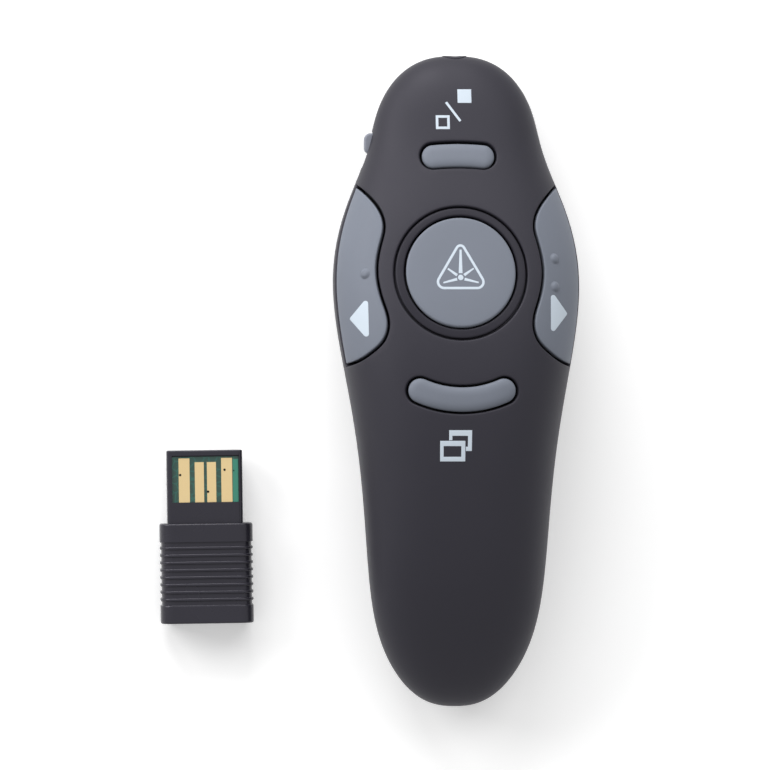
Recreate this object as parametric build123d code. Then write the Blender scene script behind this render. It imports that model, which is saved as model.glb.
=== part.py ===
from build123d import *
import math
import os
import numpy as np

# Handheld wireless presentation clicker with its USB receiver lying beside it.
# Millimetres. +X is to the right, +Y points to the head, +Z is up.
# The origin is the centre of the flat rest face under the battery door.

# ---- outer form -------------------------------------------------------------
length = 107.0
half_length = length / 2
# Each list gives (share of the half length, size in mm) along the body.
half_width_points = [
    (-1.0, 16.9), (-0.84, 17.28), (-0.62, 16.42), (-0.37, 15.86), (-0.15, 16.75), (0.10, 19.1),
    (0.35, 20.7), (0.54, 19.6), (0.72, 17.95), (0.84, 18.95), (1.0, 20.2),
]
waist_points = [
    (-1.0, 7.0), (-0.86, 9.0), (-0.66, 11.8), (-0.37, 13.4),
    (0.0, 13.0), (0.31, 10.8), (0.7, 7.8), (1.0, 6.6),
]
crown_points = [
    (-1.0, 10.4), (-0.56, 10.7), (-0.22, 11.9), (0.15, 12.65),
    (0.34, 12.0), (0.53, 10.95), (0.7, 9.7), (1.0, 9.6),
]
# Lowest line of the round belly; what lies below the rest plane is cut away flat.
keel_points = [
    (-1.0, 0.8), (-0.8, -0.9), (-0.2, -1.2), (0.25, -0.8), (0.6, 0.5), (0.85, 1.3), (1.0, 1.8),
]
end_power = 2.5             # bluntness of both ends in plan and on top
belly_end_power = 5.0       # bluntness of both ends below
end_cut = 0.9985            # share of each rounded end that is kept before its small flat
crown_powers = (2.7, 2.2)   # squareness of the upper half of a cross-section, across and up
belly_powers = (3.2, 2.5)   # the same for the lower half
section_count = 18
points_per_quarter = 5
waist_line_share = 0.25     # spacing of the points along the waist line, in half lengths

# ---- case -------------------------------------------------------------------
wall = 1.8
floor_thickness = 1.8
seam_gap = 0.15
boss_sink = 0.9             # how deep bosses, posts and cradle root into the wall
far = 60.0                  # reach of the cutting solids, well past the body

# ---- keys -------------------------------------------------------------------
key_gap = 0.28
key_proud = 0.35            # of the three middle keys; the side keys lie flush
key_travel = 0.35
flange_width = 0.8
flange_thickness = 0.9
flange_gap = 0.06
key_depth = wall + flange_gap + flange_thickness
stem_radius = 1.3

laser_key_y = 17.52
laser_key_radius = 8.95
ring_width = 1.4
ring_depth = 1.0
ring_groove = 0.3

blank_key_y = 36.87
blank_key_span = 12.1
blank_key_width = 3.9

window_key_y = -3.0
window_key_span = 17.8
window_key_width = 4.1
window_key_arc_radius = 17.0

side_key_sill = 2.9         # height of the side keys' lower edge above the waist
side_key_sill_gap = 0.6
side_key_reach = 26.0
side_key_inner_edge = [
    (17.8, 33.0), (16.1, 31.4), (14.3, 29.5), (12.95, 27.4), (12.45, 25.1), (12.95, 22.7),
    (13.75, 18.0), (12.9, 13.0), (12.0, 9.4), (12.7, 6.7), (14.4, 4.9), (17.2, 3.1), (20.2, 2.3),
]
side_edge_samples = 20
bump_radius = 0.75
bump_rise = 0.4
bump_sphere = 1.5           # radius of the sphere that rounds a bump's top
bump_x = 15.6
previous_bump_y = [17.6]
next_bump_y = [20.2, 15.5]

# ---- boards and switches ----------------------------------------------------
board_height = 9.0
board_thickness = 1.2
board_edge_gap = 0.6
board_wall_gap = 0.3
switch_side = 4.5
tall_switch = 3.5
low_switch = 1.5
plunger_radius = 1.0
plunger_fit = 0.05
plunger_rise = 0.6
plunger_seat_share = 1 / 3  # height of the plunger's seat in its switch
side_switch_x = 13.6
rear_board_size = (16.0, 11.0, 1.0)
radio_chip_size = (5.0, 5.0, 0.9)
radio_chip_place = (-4.0, 27.0)
crystal_size = (3.2, 2.5, 0.8)
crystal_place = (4.0, 27.0)

# ---- cells and their bay ----------------------------------------------------
cell_diameter = 10.5
cell_length = 44.5
cell_nub_diameter = 3.6
cell_nub_length = 1.0
cell_gap = 0.2
bay_end_y = -39.4
bay_wall = 1.2
bay_end_wall = 1.3
bay_fit = 0.1
contact_thickness = 0.4
contact_width = 7.0
spring_length = 2.4
spring_radius = 3.2

# ---- battery door -----------------------------------------------------------
door_seam_height = 4.5
door_front_gap = 0.6
door_tongue_size = (3.0, 3.2, 1.1)
door_tongue_root = 1.6
door_rib_count = 5
door_rib_pitch = 1.8
door_rib_size = (12.0, 0.8, 0.4)
door_rib_y = -24.0

# ---- screws -----------------------------------------------------------------
screw_shank_radius = 1.1
screw_head_radius = 2.1
screw_head_height = 1.3
screw_fit = 0.2
front_screw_place = (9.0, 30.5)
front_screw_seat = 5.0
tail_screw_y = -45.5
tail_screw_seat = 6.2
boss_radius = 2.3
boss_board_gap = 0.3
post_radius = 3.2
screw_bite = 4.0
driver_slot = (2.2, 0.5, 0.5)
cut_margin = 1.0            # how far a cutter stands clear of the face it cuts

# ---- laser ------------------------------------------------------------------
laser_height = 6.8
barrel_radius = 2.7
barrel_length = 9.0
barrel_wall = 0.6
lens_thickness = 1.0
lens_recess = 0.8
barrel_fit = 0.5
bezel_radius = 2.0
bezel_depth = 1.6
aperture_radius = 1.3
diode_radius = 1.6
diode_length = 1.4
bore_length = 15.8
cradle_start = 3.0          # from the head edge of the board
cradle_length = 3.0

# ---- power switch -----------------------------------------------------------
power_y = 39.0
power_travel = 2.0
power_knob_length = 3.4
power_knob_height = 2.6
power_knob_reach = 0.8
power_knob_end_round = 1.0
power_knob_round = 0.35
power_slot_gap = 0.25
power_switch_size = (3.4, 7.8, 3.4)
power_switch_inset = 4.4
power_stem = (0.9, 1.2)

# ---- receiver ---------------------------------------------------------------
receiver_place = (-40.8, -25.6)
receiver_turn = 0.8
grip_size = (15.3, 16.45, 7.4)
grip_corner = 2.2
grip_groove_count = 9
grip_groove_pitch = 1.21
grip_groove_half = 0.45
grip_groove_depth = 0.2
grip_groove_first = 3.2
plug_size = (12.0, 12.0, 4.5)
plug_corner = 0.4
plug_root = 3.0
grip_cavity = 13.0
plug_window = (11.0, 7.8, 0.9)
plug_window_front = 0.75
receiver_board_thickness = 0.6
receiver_board_front = 0.3
receiver_board_length = 19.0
contact_pad_height = 0.08
outer_pad = (1.8, 7.25)
inner_pad = (1.5, 6.6)
outer_pad_x = 3.5
inner_pad_x = 1.0
receiver_chip_size = (4.0, 4.0, 0.25)
receiver_chip_inside = 5.5


def smooth_line(points):
    """Natural cubic spline through (share of half length, size) points, as a function of Y."""
    y = np.array([share * half_length for share, size in points])
    size = np.array([size for share, size in points])
    step = np.diff(y)
    slope = np.diff(size) / step
    count = len(y)
    matrix = np.eye(count)
    right = np.zeros(count)
    for i in range(1, count - 1):
        matrix[i, i - 1:i + 2] = [step[i - 1], 2 * (step[i - 1] + step[i]), step[i]]
        right[i] = 3 * (slope[i] - slope[i - 1])
    bend = np.linalg.solve(matrix, right)

    def value(at):
        i = int(np.clip(np.searchsorted(y, at) - 1, 0, count - 2))
        run = at - y[i]
        first = slope[i] - step[i] * (2 * bend[i] + bend[i + 1]) / 3
        third = (bend[i + 1] - bend[i]) / (3 * step[i])
        return float(size[i] + run * (first + run * (bend[i] + run * third)))

    return value


half_width = smooth_line(half_width_points)
waist = smooth_line(waist_points)
crown = smooth_line(crown_points)
keel = smooth_line(keel_points)


def end_share(y, inset, power):
    """Share of the full section left at Y, falling to nothing at each rounded end."""
    return (1 - abs(end_cut * y / (half_length - inset)) ** power) ** (1 / power)


def section_sizes(y, inset):
    """Half width, crown height and belly depth of the section at Y, inset from the skin."""
    share = end_share(y, inset, end_power)
    across = (half_width(y) - inset) * share
    up = (crown(y) - inset) * share
    down = (waist(y) - keel(y) - inset) * end_share(y, inset, belly_end_power)
    return across, up, down


def section(y, inset):
    across, up, down = section_sizes(y, inset)
    points = []
    for k in range(4 * points_per_quarter):
        turn = math.pi / 2 * (k / points_per_quarter - 1)
        side, rise = math.cos(turn), math.sin(turn)
        high, powers = (up, crown_powers) if rise >= 0 else (down, belly_powers)
        x = math.copysign(across * abs(side) ** (2 / powers[0]), side)
        z = math.copysign(high * abs(rise) ** (2 / powers[1]), rise)
        points.append(Vector(x, y, waist(y) + z))
    return Wire([Edge.make_spline(points, periodic=True)])


def body(inset):
    """The whole outer form as one solid, inset from the skin (negative stands proud)."""
    reach = half_length - inset
    stations = [-reach * math.cos(math.pi * i / section_count) for i in range(section_count + 1)]
    return Solid.make_loft([section(y, inset) for y in stations])


def top_height(x, y, inset):
    """Height of the upper skin at a point, inset from the outside."""
    across, up, down = section_sizes(y, inset)
    flat = max(0.0, 1 - abs(x / across) ** crown_powers[0])
    return waist(y) + up * flat ** (1 / crown_powers[1])


def block(x, y, z):
    """Box between the given (low, high) limits."""
    size = [high - low for low, high in (x, y, z)]
    middle = [(high + low) / 2 for low, high in (x, y, z)]
    return Pos(*middle) * Box(*size)


def post(x, y, radius, z):
    return Pos(x, y, (z[0] + z[1]) / 2) * Cylinder(radius, z[1] - z[0])


def rod(radius, x, z, y):
    """Cylinder lying along Y."""
    return Pos(x, (y[0] + y[1]) / 2, z) * Rot(90, 0, 0) * Cylinder(radius, y[1] - y[0])


def above_waist(rise):
    """Everything higher than the waist line raised by the given amount."""
    count = round(1 / waist_line_share)
    stations = [half_length * waist_line_share * k for k in range(-count, count + 1)]
    line = [(y, waist(y) + rise) for y in stations]
    first, last = line[0], line[-1]
    edge = Spline(*line)
    frame = Polyline(last, (far, last[1]), (far, far), (-far, far), (-far, first[1]), first)
    profile = make_face([edge, *frame.edges()])
    return extrude(Plane.YZ * profile, far, both=True)


def upright(plan):
    """Plan outline stood up through the upper half of the body."""
    return Pos(0, 0, board_top) * extrude(plan, far)


# ---- plan outlines of the keys ------------------------------------------------
def round_plan(grow):
    return Pos(0, laser_key_y) * Circle(laser_key_radius + grow)


def arc_plan(centre_y, radius, middle, span, width, grow):
    """Slot bent along an arc about (0, centre_y); middle is its direction in degrees."""
    half_turn = math.degrees(math.asin((span - width) / 2 / radius))
    arc = CenterArc((0, centre_y), radius, middle - half_turn, 2 * half_turn)
    return SlotArc(arc, width + 2 * grow)


def blank_plan(grow):
    radius = blank_key_y - laser_key_y
    return arc_plan(laser_key_y, radius, 90, blank_key_span, blank_key_width, grow)


def window_plan(grow):
    centre = window_key_y + window_key_arc_radius
    return arc_plan(centre, window_key_arc_radius, 270, window_key_span, window_key_width, grow)


def side_plan(grow):
    """Right-hand side key: wavy inner edge, open past the side of the body."""
    edge = Spline(*side_key_inner_edge)
    shares = [k / side_edge_samples for k in range(side_edge_samples + 1)]
    grown = [edge @ share + (edge % share).rotate(Axis.Z, -90) * grow for share in shares]
    head, tail = grown[0], grown[-1]
    frame = Polyline(tail, (side_key_reach, tail.Y), (side_key_reach, head.Y), head)
    return make_face([Spline(*grown), *frame.edges()])


# ---- derived places -----------------------------------------------------------
board_top = board_height + board_thickness
cell_x = cell_diameter / 2 + cell_gap / 2
cell_z = floor_thickness + bay_fit + cell_gap + cell_diameter / 2
cell_tail_y = bay_end_y + contact_thickness + spring_length
cell_head_y = cell_tail_y + cell_length
bay_head_y = cell_head_y + cell_nub_length + contact_thickness
bay_top = cell_z + cell_diameter / 2 + cell_gap + bay_wall
bay_half = 2 * cell_x + bay_wall
door_front_y = bay_head_y + bay_end_wall + door_front_gap
board_tail_y = bay_head_y + bay_end_wall + board_edge_gap
board_head_y = half_length - lens_recess - barrel_length - diode_length - bezel_depth
rear_board_top = bay_top + rear_board_size[2]
ring_inner = laser_key_radius + key_gap
ring_outer = ring_inner + ring_width
front_screws = [(front_screw_place[0] * side, front_screw_place[1]) for side in (-1, 1)]
switch_places = {
    "laser": (0, laser_key_y, board_top, tall_switch),
    "blank_screen": (0, blank_key_y, board_top, low_switch),
    "window": (0, window_key_y, rear_board_top, tall_switch),
    "previous": (-side_switch_x, laser_key_y, board_top, tall_switch),
    "next": (side_switch_x, laser_key_y, board_top, tall_switch),
}
power_z = board_height - power_switch_size[2] / 2
power_skin_x = section_sizes(power_y, 0)[0]
power_switch_x = -(power_skin_x - power_switch_inset)


# ---- outer form layers ----------------------------------------------------------
skin = body(0)
hollow = body(wall) & block((-far, far), (-far, far), (floor_thickness, far))
lining = body(wall + board_wall_gap)
core = body(key_depth)
key_layer = body(-key_proud) - core
side_key_layer = skin - core
flange_layer = body(wall + flange_gap) - core
case_wall = (skin & block((-far, far), (-far, far), (0, far))) - hollow
upper_zone = above_waist(0)


def key_cap(plan, layer):
    """Cap that follows the body's skin, with a retaining flange behind the shell."""
    return (upright(plan(0)) & layer) + (upright(plan(flange_width + key_gap)) & flange_layer)


def with_stem(cap, name):
    """Join the stem that reaches down to the key's switch plunger."""
    x, y, base, height = switch_places[name]
    stem = post(x, y, stem_radius, (base + height + plunger_rise, far))
    return cap + (stem & body(key_depth - flange_thickness / 2))


def switch_housing(name):
    x, y, base, height = switch_places[name]
    side = switch_side / 2
    housing = block((x - side, x + side), (y - side, y + side), (base, base + height))
    seat = base + height * plunger_seat_share
    return housing - post(x, y, plunger_radius + plunger_fit, (seat, base + height + cut_margin))


def switch_plunger(name):
    x, y, base, height = switch_places[name]
    low = base + height * plunger_seat_share + key_travel + plunger_fit
    return post(x, y, plunger_radius, (low, base + height + plunger_rise))


def finger_bumps(x, places):
    """Low domes that a finger finds on a side key."""
    domes = []
    for y in places:
        peak = top_height(x, y, 0) + bump_rise
        domes.append(Pos(x, y, peak - bump_sphere) * Sphere(bump_sphere))
    rims = [post(x, y, bump_radius, (0, far)) for y in places]
    return [dome & rim for dome, rim in zip(domes, rims)]


def laser_key():
    return with_stem(key_cap(round_plan, key_layer), "laser")


def blank_screen_key():
    return with_stem(key_cap(blank_plan, key_layer), "blank_screen")


def window_key():
    return with_stem(key_cap(window_plan, key_layer), "window")


def side_key(name, bumps):
    cap = with_stem(key_cap(side_plan, side_key_layer) & above_waist(side_key_sill), "next")
    for bump in finger_bumps(bump_x, bumps):
        cap = cap + bump
    return mirror(cap, about=Plane.YZ) if name == "previous" else cap


# ---- shells -----------------------------------------------------------------------
def key_openings():
    """Everything that is cut from the upper shell for the keys and the ring."""
    side = upright(side_plan(key_gap)) & above_waist(side_key_sill - side_key_sill_gap)
    ring_seat = upright(round_plan(key_gap + ring_width + ring_groove)) - body(ring_depth)
    holes = [upright(plan(key_gap)) for plan in (round_plan, blank_plan, window_plan)]
    return holes + [ring_seat, side, mirror(side, about=Plane.YZ)]


def power_slot():
    """Opening in the left side, across the seam, for the power knob's travel."""
    gap = power_slot_gap
    head = power_y + power_knob_length / 2 + gap
    tail = power_y - power_knob_length / 2 - power_travel - gap
    half = power_knob_height / 2 + gap
    return block((-far, power_switch_x), (tail, head), (power_z - half, power_z + half))


def laser_bore():
    """Room for the barrel, with a narrower way out through the nose for the bezel."""
    room = rod(barrel_radius + barrel_fit, 0, laser_height, (half_length - bore_length, barrel_front_y))
    return room + rod(bezel_radius, 0, laser_height, (barrel_front_y, half_length + cut_margin))


def screw_bosses():
    """Bosses that hang from the upper shell down to the posts of the lower one."""
    bosses = []
    for x, y in front_screws:
        bosses.append(post(x, y, boss_radius, (board_height, far)) & body(boss_sink))
    bosses.append(post(0, tail_screw_y, boss_radius, (waist(tail_screw_y), far)) & body(boss_sink))
    return bosses


def screw_holes(radius):
    holes = [post(x, y, radius, (-cut_margin, board_height + screw_bite)) for x, y in front_screws]
    holes.append(post(0, tail_screw_y, radius, (-cut_margin, waist(tail_screw_y) + screw_bite)))
    return holes


def top_shell():
    shell = case_wall & upper_zone
    for opening in key_openings():
        shell = shell - opening
    for boss in screw_bosses():
        shell = shell + boss
    for hole in screw_holes(screw_shank_radius):
        shell = shell - hole
    return shell - laser_bore() - power_slot()


def laser_key_ring():
    plan = round_plan(key_gap + ring_width) - round_plan(key_gap)
    return upright(plan) & (skin - body(ring_depth))


def door_zone(gap):
    """Space of the battery door, shrunk by a gap at its front and upper edges."""
    return block((-far, far), (-far, door_front_y - gap), (-cut_margin, door_seam_height - gap))


def bottom_shell():
    shell = case_wall - upper_zone - door_zone(0)
    inside = body(boss_sink) - upper_zone
    for x, y in front_screws:
        shell = shell + (post(x, y, post_radius, (0, board_height)) & inside)
    tail_height = (door_seam_height, waist(tail_screw_y))
    tail_block = block((-post_radius, post_radius), (-far, tail_screw_y), tail_height)
    tail_post = post(0, tail_screw_y, post_radius, tail_height)
    shell = shell + ((tail_post + tail_block) & inside)
    for hole in screw_holes(screw_shank_radius + screw_fit):
        shell = shell - hole
    sink = screw_head_radius + screw_fit
    for x, y in front_screws:
        shell = shell - post(x, y, sink, (-cut_margin, front_screw_seat))
    shell = shell - post(0, tail_screw_y, sink, (-cut_margin, tail_screw_seat))
    cradle_y = board_head_y + cradle_start
    cradle = block((-barrel_radius, barrel_radius), (cradle_y, cradle_y + cradle_length), (0, laser_height))
    shell = shell + (cradle & inside)
    return shell - laser_bore() - power_slot()


def battery_door():
    door = case_wall & door_zone(seam_gap)
    wide, long, thick = door_tongue_size
    low = floor_thickness + seam_gap
    root = door_front_y - seam_gap - door_tongue_root
    across = (-wide / 2, wide / 2)
    door = door + block(across, (root, root + door_tongue_root), (floor_thickness / 2, low + thick))
    door = door + block(across, (root, root + long), (low, low + thick))
    wide, long, deep = door_rib_size
    for k in range(door_rib_count):
        y = door_rib_y - k * door_rib_pitch
        door = door - block((-wide / 2, wide / 2), (y - long / 2, y + long / 2), (-cut_margin, deep))
    return door


def screw(x, y, seat, reach):
    head = post(x, y, screw_head_radius, (seat - screw_head_height, seat))
    shank = post(x, y, screw_shank_radius, (seat, reach))
    wide, narrow, deep = driver_slot
    face = seat - screw_head_height
    cut = (face - cut_margin, face + deep)
    cross = block((x - wide / 2, x + wide / 2), (y - narrow / 2, y + narrow / 2), cut)
    cross += block((x - narrow / 2, x + narrow / 2), (y - wide / 2, y + wide / 2), cut)
    return head + shank - cross


def case_screws():
    front_tip = board_height + screw_bite
    screws = [screw(x, y, front_screw_seat, front_tip) for x, y in front_screws]
    screws.append(screw(0, tail_screw_y, tail_screw_seat, waist(tail_screw_y) + screw_bite))
    return Compound(children=screws)


# ---- boards -----------------------------------------------------------------------
def main_board():
    slab = block((-far, far), (board_tail_y, board_head_y), (board_height, board_top))
    board = lining & slab
    for x, y in front_screws:
        board = board - post(x, y, boss_radius + boss_board_gap, (0, far))
    return board


def rear_board():
    wide, long, thick = rear_board_size
    y = (window_key_y - long / 2, window_key_y + long / 2)
    return block((-wide / 2, wide / 2), y, (bay_top, bay_top + thick))


def chip(place, size, base):
    x, y = place
    wide, long, thick = size
    return block((x - wide / 2, x + wide / 2), (y - long / 2, y + long / 2), (base, base + thick))


# ---- cells and their bay ------------------------------------------------------------
def cell(side):
    """One AAA cell; the two lie head to tail."""
    x = side * cell_x
    shell = rod(cell_diameter / 2, x, cell_z, (cell_tail_y, cell_head_y))
    if side < 0:
        return shell + rod(cell_nub_diameter / 2, x, cell_z, (cell_head_y, cell_head_y + cell_nub_length))
    return shell


def battery_bay():
    """Tray open below, arched over the two cells, with an end wall at each end."""
    low = door_seam_height + seam_gap
    room = cell_diameter / 2 + cell_gap / 2
    along = (bay_end_y - bay_end_wall, bay_head_y + bay_end_wall)
    tray = block((-bay_half, bay_half), along, (low, bay_top)) & body(wall + bay_fit)
    inside = (bay_end_y, bay_head_y)
    for side in (-1, 1):
        x = side * cell_x
        tray = tray - rod(room, x, cell_z, inside)
        tray = tray - block((x - room, x + room), inside, (0, cell_z))
    return tray - contact_plates()


def contact_plate(y):
    """Sheet contact on an end wall, bridging or feeding the two cells."""
    wide = cell_x + contact_width / 2
    return block((-wide, wide), y, (cell_z - contact_width / 2, cell_z + contact_width / 2))


def contact_plates():
    tail = contact_plate((bay_end_y, bay_end_y + contact_thickness))
    head = contact_plate((bay_head_y - contact_thickness, bay_head_y))
    return Compound(children=[tail, head])


def contact_springs():
    """Conical springs, as closed cones between plate and cell."""
    cone = Rot(-90, 0, 0) * Cone(spring_radius, spring_radius / 2, spring_length)
    y = cell_tail_y - spring_length / 2
    return Compound(children=[Pos(side * cell_x, y, cell_z) * cone for side in (-1, 1)])


# ---- laser ---------------------------------------------------------------------------
lens_front_y = half_length - lens_recess
barrel_front_y = lens_front_y - bezel_depth
barrel_back_y = barrel_front_y - barrel_length


def laser_barrel():
    tube = rod(barrel_radius, 0, laser_height, (barrel_back_y, barrel_front_y))
    bore_y = (barrel_back_y + barrel_wall, barrel_front_y)
    bore = rod(barrel_radius - barrel_wall, 0, laser_height, bore_y)
    pins = rod(diode_radius, 0, laser_height, (barrel_back_y, barrel_front_y))
    return tube - bore - pins


def laser_lens():
    y = (barrel_front_y - lens_thickness, barrel_front_y)
    return rod(barrel_radius - barrel_wall, 0, laser_height, y)


def laser_diode():
    y = (barrel_back_y - diode_length, barrel_back_y + diode_length)
    return rod(diode_radius, 0, laser_height, y)


def laser_bezel():
    """Ring in the nose that frames the beam's way out, flush with the skin."""
    front = half_length + cut_margin
    ring = rod(bezel_radius, 0, laser_height, (barrel_front_y, front))
    aperture = rod(aperture_radius, 0, laser_height, (barrel_front_y - cut_margin, front + cut_margin))
    return (ring - aperture) & skin


# ---- power switch ----------------------------------------------------------------------
def power_switch():
    wide, long, high = power_switch_size
    middle = power_y - power_travel / 2
    y = (middle - long / 2, middle + long / 2)
    shell = block((power_switch_x, power_switch_x + wide), y, (board_height - high, board_height))
    half_high = power_stem[0] / 2 + power_slot_gap
    half_long = power_stem[1] / 2 + power_slot_gap
    track_x = (power_switch_x - cut_margin, power_switch_x + wide / 2)
    track_y = (power_y - power_travel - half_long, power_y + half_long)
    return shell - block(track_x, track_y, (power_z - half_high, power_z + half_high))


def power_knob():
    """Grip that stands out of the left side, with its stem in the switch."""
    y = (power_y - power_knob_length / 2, power_y + power_knob_length / 2)
    z = (power_z - power_knob_height / 2, power_z + power_knob_height / 2)
    grip = block((-power_skin_x - power_knob_reach, power_switch_x - power_slot_gap), y, z)
    grip = fillet(grip.faces().sort_by(Axis.X)[0].edges().filter_by(Axis.Z), power_knob_end_round)
    outer = grip.faces().filter_by(Axis.Z).edges().filter_by(lambda edge: edge.center().X < -power_skin_x)
    grip = fillet(outer, power_knob_round)
    stem_x = (power_switch_x - power_slot_gap, power_switch_x + power_switch_size[0] / 3)
    stem_y = (power_y - power_stem[1] / 2, power_y + power_stem[1] / 2)
    stem = block(stem_x, stem_y, (power_z - power_stem[0] / 2, power_z + power_stem[0] / 2))
    return grip + stem


# ---- receiver --------------------------------------------------------------------------
grip_wide, grip_long, grip_high = grip_size
plug_wide, plug_long, plug_high = plug_size
plug_z = grip_high / 2
plug_top = plug_z + plug_high / 2
total_long = grip_long + plug_long
joint_y = total_long / 2 - plug_long
plug_tip_y = total_long / 2
window_y = (plug_tip_y - plug_window_front - plug_window[1], plug_tip_y - plug_window_front)
window_floor = plug_top - plug_window[2]
board_face = window_floor + receiver_board_thickness


def placed(shape):
    """Move a receiver piece from its own centre to where the receiver lies."""
    return Pos(receiver_place[0], receiver_place[1], 0) * Rot(0, 0, receiver_turn) * shape


def receiver_grip():
    middle = joint_y - grip_long / 2
    grip = Pos(0, middle, grip_high / 2) * Box(grip_wide, grip_long, grip_high)
    grip = fillet(grip.edges().filter_by(Axis.Y), grip_corner)
    ends = grip.faces().filter_by(Axis.Y)
    grip = chamfer([edge for face in ends for edge in face.edges()], plug_corner / 2)
    outside = Rectangle(2 * grip_wide, 2 * grip_high)
    inside = offset(RectangleRounded(grip_wide, grip_high, grip_corner), -grip_groove_depth)
    band = Rot(90, 0, 0) * extrude(outside - inside, grip_groove_half, both=True)
    for k in range(grip_groove_count):
        y = joint_y - grip_groove_first - k * grip_groove_pitch
        grip = grip - Pos(0, y, grip_high / 2) * band
    room = (joint_y - grip_cavity, joint_y + cut_margin)
    return grip - block((-plug_wide / 2, plug_wide / 2), room, (plug_z - plug_high / 2, plug_top))


def receiver_plug_frame():
    middle = (plug_tip_y + joint_y - plug_root) / 2
    frame = Pos(0, middle, plug_z) * Box(plug_wide, plug_long + plug_root, plug_high)
    frame = chamfer(frame.edges().filter_by(Axis.Y), plug_corner)
    half = plug_window[0] / 2
    frame = frame - block((-half, half), window_y, (window_floor, plug_top + cut_margin))
    channel_y = (joint_y - plug_root - cut_margin, window_y[0])
    return frame - block((-half, half), channel_y, (window_floor, board_face))


def receiver_board():
    """Board that shows in the plug's window and runs back into the grip."""
    half = plug_window[0] / 2
    head = window_y[1] - receiver_board_front
    return block((-half, half), (head - receiver_board_length, head), (window_floor, board_face))


def receiver_contacts():
    pads = []
    for x, size in ((outer_pad_x, outer_pad), (inner_pad_x, inner_pad)):
        back = window_y[0]
        for side in (-1, 1):
            across = (side * x - size[0] / 2, side * x + size[0] / 2)
            along = (back, back + size[1])
            pads.append(block(across, along, (board_face, board_face + contact_pad_height)))
    return Compound(children=pads)


def receiver_chip():
    return chip((0, joint_y - receiver_chip_inside), receiver_chip_size, board_face)


nodes = {
    "top_shell": top_shell(),
    "bottom_shell": bottom_shell(),
    "battery_door": battery_door(),
    "laser_key_ring": laser_key_ring(),
    "case_screws": case_screws(),
    "laser_key": laser_key(),
    "blank_screen_key": blank_screen_key(),
    "window_key": window_key(),
    "previous_key": side_key("previous", previous_bump_y),
    "next_key": side_key("next", next_bump_y),
    "main_board": main_board(),
    "rear_board": rear_board(),
    "radio_chip": chip(radio_chip_place, radio_chip_size, board_top),
    "clock_crystal": chip(crystal_place, crystal_size, board_top),
    "battery_bay": battery_bay(),
    "left_cell": cell(-1),
    "right_cell": cell(1),
    "contact_plates": contact_plates(),
    "contact_springs": contact_springs(),
    "laser_barrel": laser_barrel(),
    "laser_lens": laser_lens(),
    "laser_diode": laser_diode(),
    "laser_bezel": laser_bezel(),
    "power_switch": power_switch(),
    "power_knob": power_knob(),
    "receiver_grip": placed(receiver_grip()),
    "receiver_plug_frame": placed(receiver_plug_frame()),
    "receiver_board": placed(receiver_board()),
    "receiver_contacts": placed(receiver_contacts()),
    "receiver_chip": placed(receiver_chip()),
}
for name in switch_places:
    nodes[f"{name}_switch"] = switch_housing(name)
    nodes[f"{name}_plunger"] = switch_plunger(name)

os.makedirs("parts", exist_ok=True)
for name, shape in nodes.items():
    export_step(shape, f"parts/{name}.step")
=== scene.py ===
import math
import bmesh
import bpy
import numpy as np
from mathutils import Matrix, Vector, kdtree
from mathutils.geometry import delaunay_2d_cdt


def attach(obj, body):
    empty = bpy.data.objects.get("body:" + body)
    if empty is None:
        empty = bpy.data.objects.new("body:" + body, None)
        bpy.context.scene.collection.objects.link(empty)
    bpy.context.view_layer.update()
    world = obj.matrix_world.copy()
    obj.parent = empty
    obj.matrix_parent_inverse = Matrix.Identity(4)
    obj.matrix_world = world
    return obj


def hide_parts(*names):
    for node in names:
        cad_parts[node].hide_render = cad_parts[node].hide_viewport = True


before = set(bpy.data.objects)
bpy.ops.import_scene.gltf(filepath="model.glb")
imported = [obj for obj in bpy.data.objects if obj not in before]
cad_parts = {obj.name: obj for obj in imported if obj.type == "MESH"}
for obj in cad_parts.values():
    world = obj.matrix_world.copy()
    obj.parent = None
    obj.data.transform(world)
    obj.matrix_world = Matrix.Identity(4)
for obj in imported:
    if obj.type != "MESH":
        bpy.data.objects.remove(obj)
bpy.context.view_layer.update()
scene = bpy.context.scene

MM = 0.001
TAU = 2 * math.pi
TINY = 1e-6

# ---- outer form of the clicker, in millimetres --------------------------------------
HALF_LENGTH = 53.5
HALF_WIDTH = [
    (-1.0, 16.9), (-0.84, 17.28), (-0.62, 16.42), (-0.37, 15.86), (-0.15, 16.75), (0.10, 19.1),
    (0.35, 20.7), (0.54, 19.6), (0.72, 17.95), (0.84, 18.95), (1.0, 20.2),
]
WAIST = [
    (-1.0, 7.0), (-0.86, 9.0), (-0.66, 11.8), (-0.37, 13.4), (0.0, 13.0), (0.31, 10.8), (0.7, 7.8),
    (1.0, 6.6),
]
CROWN = [
    (-1.0, 10.4), (-0.56, 10.7), (-0.22, 11.9), (0.15, 12.65), (0.34, 12.0), (0.53, 10.95),
    (0.7, 9.7), (1.0, 9.6),
]
KEEL = [(-1.0, 0.8), (-0.8, -0.9), (-0.2, -1.2), (0.25, -0.8), (0.6, 0.5), (0.85, 1.3), (1.0, 1.8)]
END_POWER = 2.5
BELLY_END_POWER = 5.0
CROWN_POWERS = (2.7, 2.2)
BELLY_POWERS = (3.2, 2.5)
WALL = 1.8
REST_BLEND = 0.25           # how softly the belly runs out into the flat rest face
REST_ROOM = 1.5             # below this height the rest face hides the section's own shape

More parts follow.
